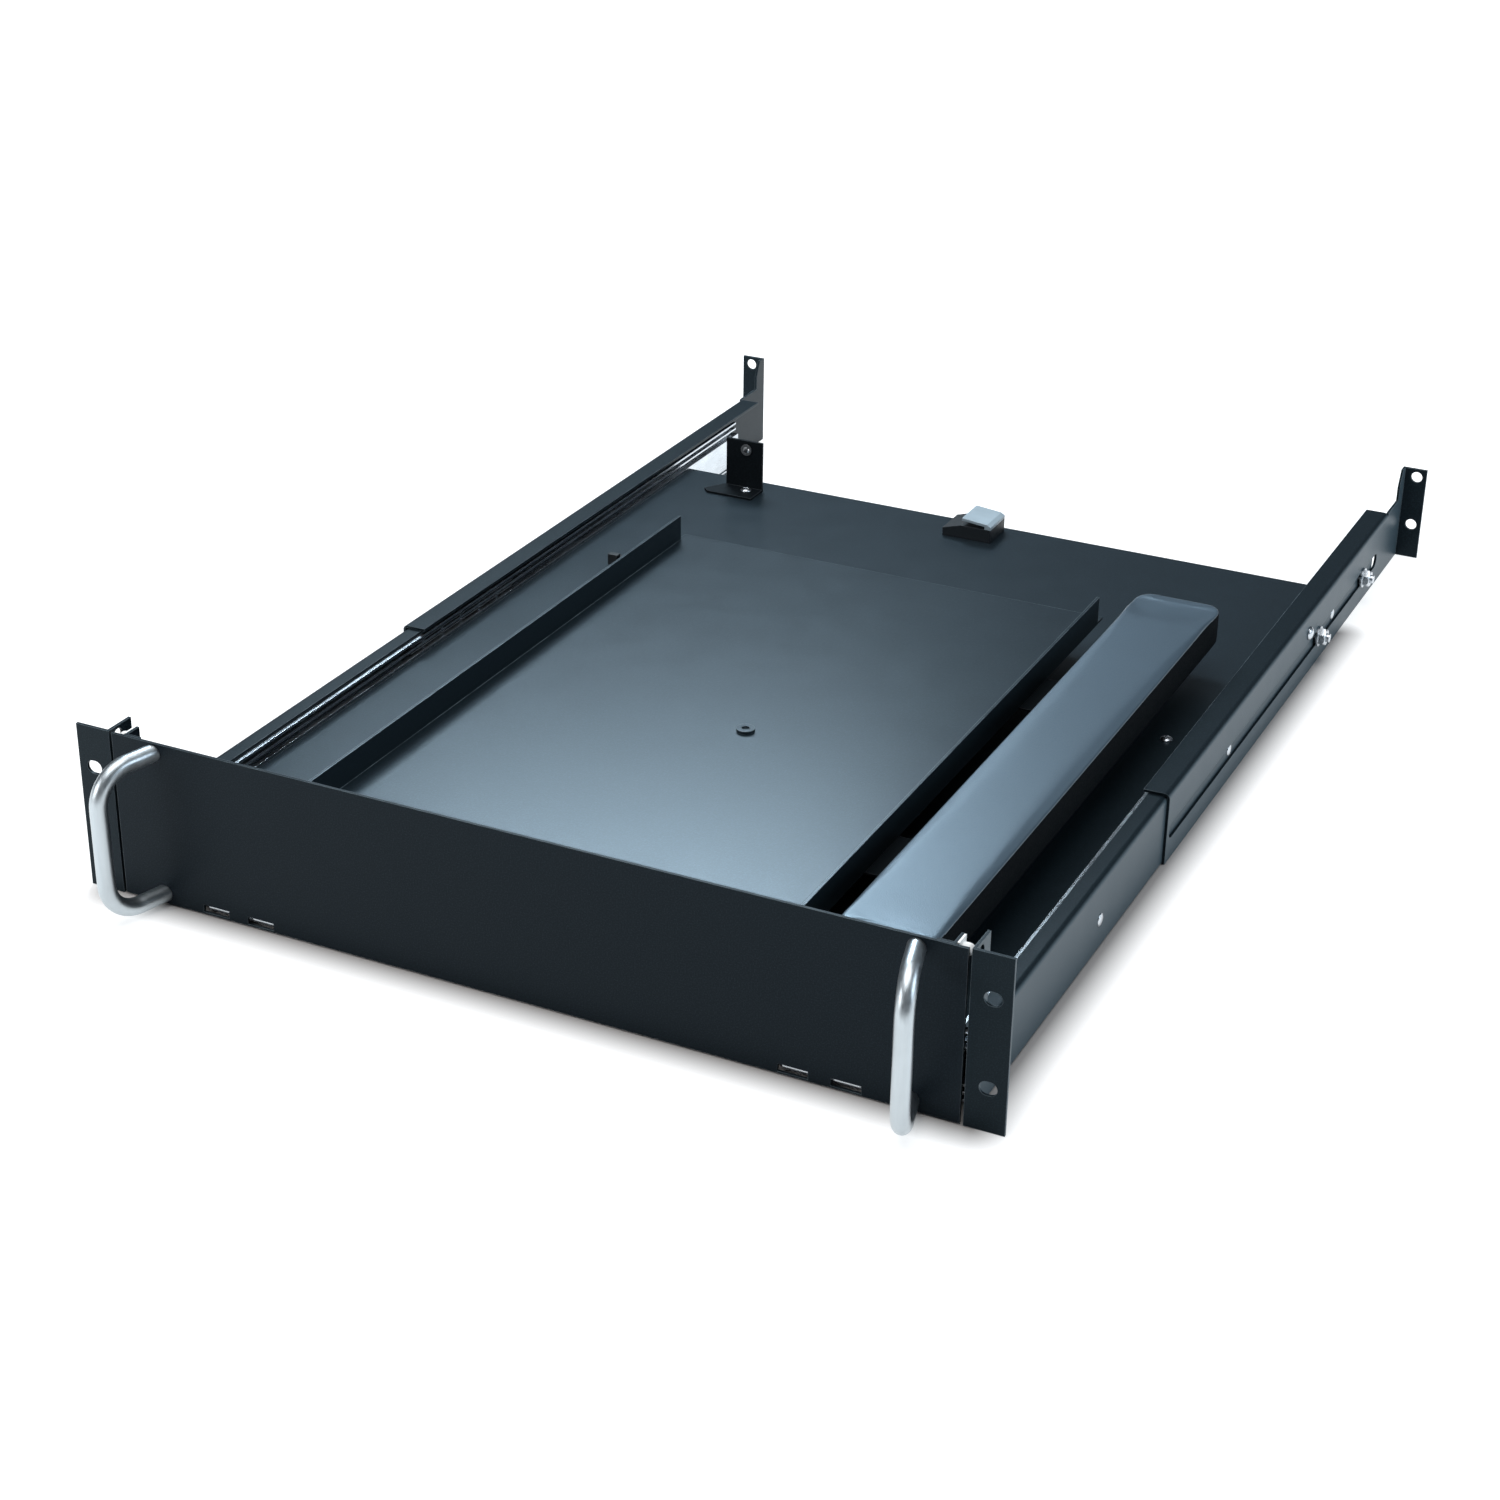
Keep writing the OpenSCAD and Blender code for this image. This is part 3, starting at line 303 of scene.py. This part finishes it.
SLOT_FINISH = {
    "coat_black": COAT, "coat_grey": GREY_COAT, "zinc": ZINC, "steel": STEEL,
    "satin_aluminium": SATIN, "dark_plastic": DARK, "grey_plastic": LIGHT,
    "nylon": NYLON, "cushion": CUSHION_TOP,
}
SLOT_OF = {part["node"]: part["material_slot"] for part in frame["record"]["subparts"]}
BODIES = frame["record"]["behaviour"]["bodies"]
BODY_OF = {node: body for body, members in BODIES.items() for node in members}
NODE_FINISH = {
    "left_front_bracket": RAIL_COAT, "right_front_bracket": RAIL_COAT,
    "left_rear_bracket": RAIL_COAT, "right_rear_bracket": RAIL_COAT,
    # The rest bracket's near-black coat is painted shade for the dark gap it sits in.
    "cable_arm_bracket": MATT_BLACK_AND_SHADE, "rest_bracket": MATT_BLACK_AND_SHADE, "arm_eyelet": DULL_STEEL,
}
for name, slot in SLOT_OF.items():
    mesh = nodes[name].data
    mesh.materials.clear()
    mesh.materials.append(NODE_FINISH.get(name, SLOT_FINISH[slot]))

# Where the separate solids of a node lie


def solid_boxes(node):
    """(low, high) corners of each solid in a node, found by the points its triangles share."""
    mesh = nodes[node].data
    keys = [tuple(round(c, 6) for c in v.co) for v in mesh.vertices]
    parent = {}

    def root(k):
        while parent.setdefault(k, k) != k:
            parent[k] = parent[parent[k]]
            k = parent[k]
        return k

    for face in mesh.polygons:
        first, *rest = (keys[i] for i in face.vertices)
        for k in rest:
            parent[root(k)] = root(first)
    groups = {}
    for k in list(parent):
        groups.setdefault(root(k), []).append(k)
    boxes = []
    for members in groups.values():
        low = Vector(min(m[i] for m in members) for i in range(3))
        high = Vector(max(m[i] for m in members) for i in range(3))
        boxes.append((low, high))
    return sorted(boxes, key=lambda b: tuple(b[0]))


# Fasteners and balls, made with Geometry Nodes and placed on the CAD solids


class Kit:
    """A geometry tree with named sizes. It puts one shape on every given place."""

    def __init__(self, name, sizes):
        self.tree = bpy.data.node_groups.new(name, "GeometryNodeTree")
        face = self.tree.interface
        kinds = {"Places": "Geometry", **{size: "Float" for size in sizes}, "Finish": "Material"}
        self.sockets = {
            label: face.new_socket(label, in_out="INPUT", socket_type="NodeSocket" + kind)
            for label, kind in kinds.items()}
        face.new_socket("Pieces", in_out="OUTPUT", socket_type="NodeSocketGeometry")
        self.source = self.tree.nodes.new("NodeGroupInput")

    def size(self, name):
        return self.source.outputs[name]

    def add(self, kind, values=None, **settings):
        node = self.tree.nodes.new(kind)
        for key, value in settings.items():
            setattr(node, key, value)
        for key, value in (values or {}).items():
            if isinstance(value, bpy.types.NodeSocket):
                self.tree.links.new(value, node.inputs[key])
            else:
                node.inputs[key].default_value = value
        return node

    def maths(self, kind, a, b):
        node = self.tree.nodes.new("ShaderNodeMath")
        node.operation = kind
        for socket, value in zip(node.inputs, (a, b)):
            if isinstance(value, bpy.types.NodeSocket):
                self.tree.links.new(value, socket)
            else:
                socket.default_value = value
        return node.outputs[0]

    def vector(self, x, y, z):
        return self.add("ShaderNodeCombineXYZ", {"X": x, "Y": y, "Z": z}).outputs[0]

    def join(self, *meshes):
        node = self.tree.nodes.new("GeometryNodeJoinGeometry")
        for mesh in reversed(meshes):
            self.tree.links.new(mesh, node.inputs[0])
        return node.outputs[0]

    def shift(self, mesh, z):
        return self.add("GeometryNodeTransform",
                        {"Geometry": mesh, "Translation": self.vector(0.0, 0.0, z)}).outputs[0]

    def cylinder(self, radius, depth, vertices=28):
        """A cylinder that stands on the plane z = 0."""
        mesh = self.add("GeometryNodeMeshCylinder",
                        {"Vertices": vertices, "Radius": radius, "Depth": depth}).outputs["Mesh"]
        return self.shift(mesh, self.maths("MULTIPLY", depth, 0.5))

    def ball(self, radius, segments, rings):
        return self.add("GeometryNodeMeshUVSphere",
                        {"Segments": segments, "Rings": rings, "Radius": radius}).outputs["Mesh"]

    def dome(self, radius, height):
        """A low dome with a flat underside on the plane z = 0."""
        ball = self.ball(1.0, 28, 16)
        spot = self.add("GeometryNodeInputPosition").outputs[0]
        axes = self.add("ShaderNodeSeparateXYZ", {0: spot})
        up = self.maths("MULTIPLY", self.maths("MAXIMUM", axes.outputs["Z"], 0.0), height)
        across = [self.maths("MULTIPLY", axes.outputs[k], radius) for k in ("X", "Y")]
        moved = self.add("GeometryNodeSetPosition",
                         {"Geometry": ball, "Position": self.vector(*across, up)}).outputs[0]
        return self.smooth(moved)

    def smooth(self, mesh):
        return self.add("GeometryNodeSetShadeSmooth", {"Geometry": mesh}).outputs[0]

    def cut(self, mesh, tool):
        node = self.add("GeometryNodeMeshBoolean", {"Mesh 1": mesh},
                        operation="DIFFERENCE", solver="EXACT")
        self.tree.links.new(tool, node.inputs["Mesh 2"])
        return node.outputs["Mesh"]

    def common(self, mesh, tool):
        node = self.add("GeometryNodeMeshBoolean", operation="INTERSECT", solver="EXACT")
        self.tree.links.new(tool, node.inputs["Mesh 2"])
        self.tree.links.new(mesh, node.inputs["Mesh 2"])
        return node.outputs["Mesh"]

    def finish(self, shape):
        """Turns the shape's +Z to the attribute out at every place, and ends in plain mesh."""
        out = self.add("GeometryNodeInputNamedAttribute", data_type="FLOAT_VECTOR")
        out.inputs["Name"].default_value = "out"
        turn = self.add("FunctionNodeAlignRotationToVector", {"Vector": out.outputs[0]}, axis="Z")
        points = self.add("GeometryNodeMeshToPoints", {"Mesh": self.size("Places")}).outputs[0]
        copies = self.add("GeometryNodeInstanceOnPoints",
                          {"Points": points, "Instance": shape,
                           "Rotation": turn.outputs[0]}).outputs[0]
        real = self.add("GeometryNodeRealizeInstances", {"Geometry": copies}).outputs[0]
        done = self.add("GeometryNodeSetMaterial",
                        {"Geometry": real, "Material": self.size("Finish")}).outputs[0]
        end = self.tree.nodes.new("NodeGroupOutput")
        self.tree.links.new(done, end.inputs[0])


RIVET_SIZES = ("Head Radius", "Head Height", "Shank Radius", "Shank Length",
               "Tail Radius", "Tail Height")
SCREW_SIZES = RIVET_SIZES[:4]
RECESS_LENGTH, RECESS_WIDTH = 1.05, 0.26       # of the cross recess, in head radii


def rivet_kit():
    kit = Kit("domed_rivet", RIVET_SIZES)
    head = kit.dome(kit.size("Head Radius"), kit.size("Head Height"))
    length, tail_height = kit.size("Shank Length"), kit.size("Tail Height")
    shank = kit.shift(kit.cylinder(kit.size("Shank Radius"), length),
                      kit.maths("MULTIPLY", length, -1.0))
    tail = kit.shift(kit.cylinder(kit.size("Tail Radius"), tail_height),
                     kit.maths("MULTIPLY", kit.maths("ADD", length, tail_height), -1.0))
    kit.finish(kit.join(head, shank, tail))
    return kit


def screw_kit():
    kit = Kit("cross_recess_screw", SCREW_SIZES)
    radius, height = kit.size("Head Radius"), kit.size("Head Height")
    length = kit.size("Shank Length")
    head = kit.dome(radius, height)
    long_side = kit.maths("MULTIPLY", radius, RECESS_LENGTH)
    short_side = kit.maths("MULTIPLY", radius, RECESS_WIDTH)
    for x, y in ((long_side, short_side), (short_side, long_side)):
        blade = kit.add("GeometryNodeMeshCube", {"Size": kit.vector(x, y, height)})
        head = kit.cut(head, kit.shift(blade.outputs["Mesh"], height))
    shank = kit.shift(kit.cylinder(kit.size("Shank Radius"), length),
                      kit.maths("MULTIPLY", length, -1.0))
    kit.finish(kit.join(head, shank))
    return kit


def nut_kit():
    """A hexagon whose corners are taken off by a barrel, with a plain bore."""
    kit = Kit("chamfered_nut", ("Corner Radius", "Height", "Bore Radius"))
    height = kit.size("Height")
    block = kit.cylinder(kit.size("Corner Radius"), height, 6)
    wide = kit.maths("MULTIPLY", kit.size("Corner Radius"), 1.06)
    tall = kit.maths("MULTIPLY", height, 1.15)
    barrel = kit.add("GeometryNodeTransform", {"Geometry": kit.ball(1.0, 32, 24),
                                               "Scale": kit.vector(wide, wide, tall)}).outputs[0]
    body = kit.common(block, kit.shift(barrel, kit.maths("MULTIPLY", height, 0.3)))
    drill = kit.cylinder(kit.size("Bore Radius"), kit.maths("MULTIPLY", height, 3.0), 32)
    drill = kit.shift(drill, kit.maths("MULTIPLY", height, -1.0))
    kit.finish(kit.cut(body, drill))
    return kit


def ball_kit():
    kit = Kit("bearing_ball", ("Radius",))
    kit.finish(kit.smooth(kit.ball(kit.size("Radius"), 20, 12)))
    return kit


def set_out(kit, node, places, outs, sizes):
    """Runs a kit on the places; the plain mesh rides the node's body and replaces the node."""
    points = bpy.data.meshes.new(node + "_places")
    points.from_pydata([tuple(p) for p in places], [], [])
    points.attributes.new("out", "FLOAT_VECTOR", "POINT").data.foreach_set(
        "vector", [c for v in outs for c in v])
    maker = bpy.data.objects.new(node + "_maker", points)
    bpy.context.scene.collection.objects.link(maker)
    mod = maker.modifiers.new("kit", "NODES")
    mod.node_group = kit.tree
    for name, value in sizes.items():
        mod[kit.sockets[name].identifier] = value * MM
    mod[kit.sockets["Finish"].identifier] = SLOT_FINISH[SLOT_OF[node]]
    graph = bpy.context.evaluated_depsgraph_get()
    mesh = bpy.data.meshes.new_from_object(maker.evaluated_get(graph), depsgraph=graph)
    bpy.data.objects.remove(maker)
    piece = bpy.data.objects.new(node + "_detail", mesh)
    bpy.context.scene.collection.objects.link(piece)
    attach(piece, BODY_OF[node])
    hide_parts(node)


def along(node, axis, seat, outward):
    """A place for every solid of a node: its middle across the axis, and its seat along it.
    seat gives the distance in mm from the solid's outward end back to the head's seat."""
    places, outs = [], []
    for low, high in solid_boxes(node):
        middle = (low + high) / 2
        sign = outward(middle)
        end = high[axis] if sign > 0 else low[axis]
        spot = middle.copy()
        spot[axis] = end - sign * seat * MM
        out = Vector((0, 0, 0))
        out[axis] = sign
        places.append(spot)
        outs.append(out)
    return places, outs


def away_from_middle(spot):
    return 1 if spot.x > 0 else -1


def to_middle(spot):
    return -1 if spot.x > 0 else 1


def forward_along_axis(spot):
    return 1


RIVET, SCREW, NUT, BALL = rivet_kit(), screw_kit(), nut_kit(), ball_kit()

# node, axis it lies along, head's seat below its outward end in mm, way out, sizes in mm
X, Y, Z = 0, 1, 2
RIVETS = (
    ("slide_rivets", X, 1.0, away_from_middle, (3.4, 1.0, 2.0, 2.7, 3.5, 0.7)),
    ("rail_rivets", X, 2.4, away_from_middle, (4.0, 2.4, 2.2, 1.5, 2.2, 0.0)),
    ("pedestal_rivets", Z, 1.4, forward_along_axis, (3.5, 1.4, 2.0, 3.0, 3.5, 1.4)),
    ("hinge_rivets", Y, 0.9, forward_along_axis, (2.8, 0.9, 1.6, 2.7, 2.8, 0.9)),
    ("catch_rivets", X, 0.6, to_middle, (1.6, 0.6, 1.0, 2.5, 1.0, 0.0)),
)
SCREWS = (
    ("floor_screw", Z, 1.8, forward_along_axis, (3.6, 1.8, 2.0, 5.0)),
    ("arm_screw", Z, 1.8, forward_along_axis, (3.6, 1.8, 2.0, 6.5)),
    ("handle_screws", Y, 2.6, forward_along_axis, (4.0, 2.6, 2.0, 7.5)),
    ("slide_screws", X, 2.0, to_middle, (3.5, 2.0, 2.0, 4.0)),
)
NUT_ACROSS_FLATS, NUT_HEIGHT, NUT_BORE_R = 9.0, 4.0, 2.55
BALL_RADII = {"ring_balls": 2.5, "outer_cage_balls": 1.6, "inner_cage_balls": 1.6}


def make_fasteners():
    for kit, names, rows in ((RIVET, RIVET_SIZES, RIVETS), (SCREW, SCREW_SIZES, SCREWS)):
        for node, axis, seat, outward, sizes in rows:
            set_out(kit, node, *along(node, axis, seat, outward), dict(zip(names, sizes)))
    set_out(NUT, "rail_nuts", *along("rail_nuts", X, NUT_HEIGHT, away_from_middle),
            {"Corner Radius": NUT_ACROSS_FLATS / math.sqrt(3), "Height": NUT_HEIGHT,
             "Bore Radius": NUT_BORE_R})
    for node, radius in BALL_RADII.items():
        set_out(BALL, node, *along(node, Z, radius, forward_along_axis), {"Radius": radius})


make_fasteners()

# Wrist rest: a foam pad whose upward faces take the top skin and whose sides take a darkened copy
# of it as painted shade, swelled by a cloth simulation

REST_LOW, REST_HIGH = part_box("wrist_rest")
REST_CORNER = 11.0 * MM                  # corner radius seen from above
REST_EDGE = 1.2 * MM                     # radius of the tight top edge
REST_SEAM_DROP = 2.2 * MM                # the seam below the top
REST_SEAM_DEPTH = 0.5 * MM
REST_SLACK, REST_TOP_SLACK = 0.5 * MM, 0.6 * MM   # room left for the swelling
REST_SIDE_RISES = (1.0, 4.0, 7.5, 11.0, 14.5)     # rings up the sides, in mm over the underside
REST_UNDER_INSETS = (5.0, 1.0)                    # rings of the underside, in mm from the side
REST_TOP_INSETS = (2.4, 4.6, 7.2)                 # rings of the top, in mm from the side
EDGE_STEPS = 3
ARC_STEPS, STEPS_ACROSS, STEPS_ALONG = 5, 8, 66
SWELL_PRESSURE, SWELL_FRAMES, SWELL_QUALITY = 2.5, 15, 6
SWELL_CAP = 0.6 * MM
HELD_HEIGHT = 1.2 * MM                   # the cloth is held up to here
REST_SLANT = math.radians(32.0)          # slant below the front end, as on the CAD solid
REST_SLANT_DROP = 3.0 * MM
REST_SLANT_TURNS = (0.0, 30.0)           # degrees about +Z to which the slants look
REST_SLANT_CLEAR = 0.4 * MM
TOP_LOOKS_UP = 0.3                       # least normal.z of a face with the top skin


def rest_outline(inset):
    """The rounded rectangle of the rest, drawn in by inset, with even steps along its sides."""
    low, high = Vector(REST_LOW), Vector(REST_HIGH)
    r = REST_CORNER - inset
    left, right = low.x + inset + r, high.x - inset - r
    front, rear = low.y + inset + r, high.y - inset - r
    corners = ((right, rear, 0), (left, rear, 90), (left, front, 180), (right, front, 270))
    arcs = []
    for cx, cy, start in corners:
        turns = [math.radians(start + 90 * i / ARC_STEPS) for i in range(ARC_STEPS + 1)]
        arcs.append([(cx + r * math.cos(a), cy + r * math.sin(a)) for a in turns])
    points = []
    for k, arc in enumerate(arcs):
        points += arc
        end, start = Vector(arc[-1]), Vector(arcs[(k + 1) % 4][0])
        count = STEPS_ACROSS if k % 2 == 0 else STEPS_ALONG
        points += [tuple(end.lerp(start, i / count)) for i in range(1, count)]
    return points


def loft(rings, name):
    """A closed form through rings of equal length, with an even grid over the last one."""
    bm = bmesh.new()
    rows = [[bm.verts.new((px, py, z)) for px, py in ring] for ring, z in rings]
    count = len(rows[0])
    for a, b in zip(rows, rows[1:]):
        for i in range(count):
            j = (i + 1) % count
            bm.faces.new((a[i], a[j], b[j], b[i]))
    bm.faces.new(list(reversed(rows[0])))
    cover(bm, rows[-1])
    bmesh.ops.recalc_face_normals(bm, faces=bm.faces)
    mesh = bpy.data.meshes.new(name)
    bm.to_mesh(mesh)
    bm.free()
    obj = bpy.data.objects.new(name, mesh)
    bpy.context.scene.collection.objects.link(obj)
    return obj


def cover(bm, ring):
    """Fills a ring from rest_outline with rows that run from its left side to its right side."""
    second = ARC_STEPS + STEPS_ACROSS
    third = second + ARC_STEPS + STEPS_ALONG
    fourth = third + ARC_STEPS + STEPS_ACROSS
    left = ring[second + ARC_STEPS:third + 1]
    right = ring[fourth + ARC_STEPS:] + [ring[0]]
    rows = []
    for a, b in zip(left, reversed(right)):
        between = [bm.verts.new(a.co.lerp(b.co, j / STEPS_ACROSS))
                   for j in range(1, STEPS_ACROSS)]
        rows.append([a, *between, b])
    for upper, lower in zip(rows, rows[1:]):
        for j in range(STEPS_ACROSS):
            bm.faces.new((upper[j], lower[j], lower[j + 1], upper[j + 1]))
    bm.faces.new(ring[:second + ARC_STEPS + 1] + rows[0][1:-1])
    bm.faces.new(ring[third:fourth + ARC_STEPS + 1] + rows[-1][-2:0:-1])


def apply_modifiers(obj):
    graph = bpy.context.evaluated_depsgraph_get()
    mesh = bpy.data.meshes.new_from_object(obj.evaluated_get(graph), depsgraph=graph)
    old = obj.data
    obj.modifiers.clear()
    obj.data = mesh
    bpy.data.meshes.remove(old)


def rest_form():
    """The pad before it swells: a little under its space, with a tight top edge over a seam."""
    low, high = REST_LOW[2], REST_HIGH[2]
    top, seam = high - REST_TOP_SLACK, high - REST_SEAM_DROP
    side = rest_outline(REST_SLACK)
    rings = [(rest_outline(REST_SLACK + inset * MM), low) for inset in REST_UNDER_INSETS]
    rings += [(side, low + rise * MM) for rise in REST_SIDE_RISES]
    rings += [(side, seam - 0.7 * MM), (rest_outline(REST_SLACK + REST_SEAM_DEPTH), seam),
              (side, seam + 0.4 * MM)]
    for i in range(1, EDGE_STEPS + 1):
        a = math.radians(90 * i / EDGE_STEPS)
        rings.append((rest_outline(REST_SLACK + REST_EDGE * (1 - math.cos(a))),
                      top - REST_EDGE * (1 - math.sin(a))))
    rings += [(rest_outline(REST_SLACK + inset * MM), top) for inset in REST_TOP_INSETS]
    return loft(rings, "wrist_rest_pad")


def swell(pad):
    """Blows the pad up a little as cloth, with its underside held, and caps how far it moves."""
    rest = [v.co.copy() for v in pad.data.vertices]
    held = pad.vertex_groups.new(name="held")
    low = [v.index for v in pad.data.vertices if v.co.z < REST_LOW[2] + HELD_HEIGHT]
    held.add(low, 1.0, "REPLACE")
    cloth = pad.modifiers.new("swell", "CLOTH")
    cloth.settings.use_pressure = True
    cloth.settings.uniform_pressure_force = SWELL_PRESSURE
    cloth.settings.effector_weights.gravity = 0.0
    cloth.settings.vertex_group_mass = "held"
    cloth.settings.quality = SWELL_QUALITY
    scene = bpy.context.scene
    for step in range(1, SWELL_FRAMES + 1):
        scene.frame_set(step)
    apply_modifiers(pad)
    for v, start in zip(pad.data.vertices, rest):
        move = v.co - start
        if move.length > SWELL_CAP:
            v.co = start + move * (SWELL_CAP / move.length)
    scene.frame_set(1)


def trim_front(pad):
    """Draws the lower front end back to the slants that clear the folding panel."""
    turn_spot = Vector((REST_HIGH[0] - REST_CORNER, REST_LOW[1] + REST_CORNER,
                        REST_HIGH[2] - REST_SLANT_DROP))
    for turn in REST_SLANT_TURNS:
        a = math.radians(turn)
        ahead = Vector((math.sin(a), -math.cos(a), 0.0))
        down = Vector((0, 0, math.sin(REST_SLANT)))
        face = (ahead * math.cos(REST_SLANT) - down).normalized()
        level = face.dot(turn_spot + ahead * REST_CORNER) - REST_SLANT_CLEAR
        for v in pad.data.vertices:
            over = face.dot(v.co) - level
            if over > 0.0:
                v.co -= ahead * (over / face.dot(ahead))


def colour_sides(pad):
    """Top skin above the seam on faces that look up; elsewhere a darkened copy of the skin,
    painted shade for the sides that lie in shadow.
    """
    seam = REST_HIGH[2] - REST_SEAM_DROP
    pad.data.materials.clear()
    pad.data.materials.append(CUSHION_TOP)
    pad.data.materials.append(CUSHION_SHADED_SIDE)
    for face in pad.data.polygons:
        face.use_smooth = True
        is_top = face.center.z > seam and face.normal.z > TOP_LOOKS_UP
        face.material_index = 0 if is_top else 1


def make_wrist_rest():
    pad = rest_form()
    swell(pad)
    fine = pad.modifiers.new("fine", "SUBSURF")
    fine.levels = fine.render_levels = 1
    apply_modifiers(pad)
    trim_front(pad)
    for v in pad.data.vertices:
        if v.co.z < REST_LOW[2]:
            v.co.z = REST_LOW[2]
    colour_sides(pad)
    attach(pad, "platform")
    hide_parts("wrist_rest")


make_wrist_rest()

# Floor, backdrop and light

FLOOR_Z = (EAR_BOTTOM - 0.3) * MM
FLOOR_HALF = 12.0                        # metres
# Box round the part where the floor's glow is off; the fade out from it paints a shadow beside
# the part.
FOOTPRINT_MIDDLE = (0.0, 0.2925, 0.0)
FOOTPRINT_HALF = (0.226, 0.2925, 1.0)
FLOOR_COLOUR = (0.51, 0.50, 0.49)
FLOOR_SEEN_COLOUR = (0.42, 0.40, 0.39)   # what the camera sees, so that the shadow shows
SKY_COLOUR, SKY_STRENGTH = (0.80, 0.90, 1.0), 0.12
WHITE = (1.0, 1.0, 1.0)


def make_floor():
    """A pale floor that is white away from the part and keeps the part's shadow beside it; its
    glow fades out toward the part, which paints a shadow there over the real one.
    """
    s = Finish("floor")
    path = s.add("ShaderNodeLightPath")
    camera = path.outputs["Is Camera Ray"]
    mirrored = s.maths("MAXIMUM", path.outputs["Is Glossy Ray"],
                       path.outputs["Is Transmission Ray"])
    seen = s.maths("MAXIMUM", camera, mirrored)
    s.put(s.bsdf.inputs["Base Color"], s.mix(camera, FLOOR_COLOUR, FLOOR_SEEN_COLOUR))
    s.fixed(Roughness=0.9, Specular_IOR_Level=0.1)
    s.put(s.bsdf.inputs["Emission Color"], (0.95, 0.98, 1.0, 1.0))
    away = s.beside(FOOTPRINT_MIDDLE, FOOTPRINT_HALF)
    # White backdrop glow far away, fading to nothing within 18 mm of the footprint: a painted
    # shadow beside the part.
    glow_and_painted_shadow = s.maths("ADD", s.span(away, 0.0, 0.018, 0.0, 0.78), s.span(away, 0.01, 0.3, 0.0, 0.22))
    s.put(s.bsdf.inputs["Emission Strength"], s.maths("MULTIPLY", seen, glow_and_painted_shadow))
    mesh = bpy.data.meshes.new("floor")
    mesh.from_pydata([(x * FLOOR_HALF, y * FLOOR_HALF, FLOOR_Z)
                      for x, y in ((-1, -1), (1, -1), (1, 1), (-1, 1))], [], [(0, 1, 2, 3)])
    mesh.materials.append(s.mat)
    floor = bpy.data.objects.new("floor", mesh)
    bpy.context.scene.collection.objects.link(floor)


def make_world():
    """A dim sky that lights the part, seen by the camera as plain white."""
    world = bpy.data.worlds.new("studio")
    bpy.context.scene.world = world
    world.use_nodes = True
    tree = world.node_tree
    tree.nodes.clear()
    out = tree.nodes.new("ShaderNodeOutputWorld")
    path = tree.nodes.new("ShaderNodeLightPath")
    choose = tree.nodes.new("ShaderNodeMixShader")
    tree.links.new(path.outputs["Is Camera Ray"], choose.inputs[0])
    for socket, colour, strength in ((1, SKY_COLOUR, SKY_STRENGTH), (2, WHITE, 1.0)):
        sky = tree.nodes.new("ShaderNodeBackground")
        sky.inputs["Color"].default_value = (*colour, 1.0)
        sky.inputs["Strength"].default_value = strength
        tree.links.new(sky.outputs[0], choose.inputs[socket])
    tree.links.new(choose.outputs[0], out.inputs[0])


# name, place, target, (width, height) in metres, watts, colour
LIGHTS = (
    ("back_left_softbox", (-0.64, 1.25, 1.05), (-0.05, 0.1, 0.0), (0.6, 0.4), 16.0,
     (0.74, 0.89, 1.0)),
    ("top_softbox", (-0.2, 0.0, 2.6), (0.0, 0.3, 0.0), (2.6, 2.6), 70.0, WHITE),
    ("right_softbox", (1.5, 0.5, 0.6), (0.2, 0.3, 0.0), (1.0, 0.6), 8.0, (0.78, 0.90, 1.0)),
    ("front_left_softbox", (-0.95, -1.0, 0.55), (-0.1, 0.0, 0.0), (0.8, 0.6), 8.0, WHITE),
)


def area_light(name, place, target, size, power, colour):
    data = bpy.data.lights.new(name, "AREA")
    data.shape, data.size, data.size_y = "RECTANGLE", size[0], size[1]
    data.energy, data.color = power, colour
    light = bpy.data.objects.new(name, data)
    place, target = Vector(place), Vector(target)
    light.location = place
    light.rotation_euler = (target - place).to_track_quat("-Z", "Y").to_euler()
    bpy.context.scene.collection.objects.link(light)


make_floor()
make_world()
for row in LIGHTS:
    area_light(*row)

bpy.context.scene.view_settings.view_transform = "Standard"
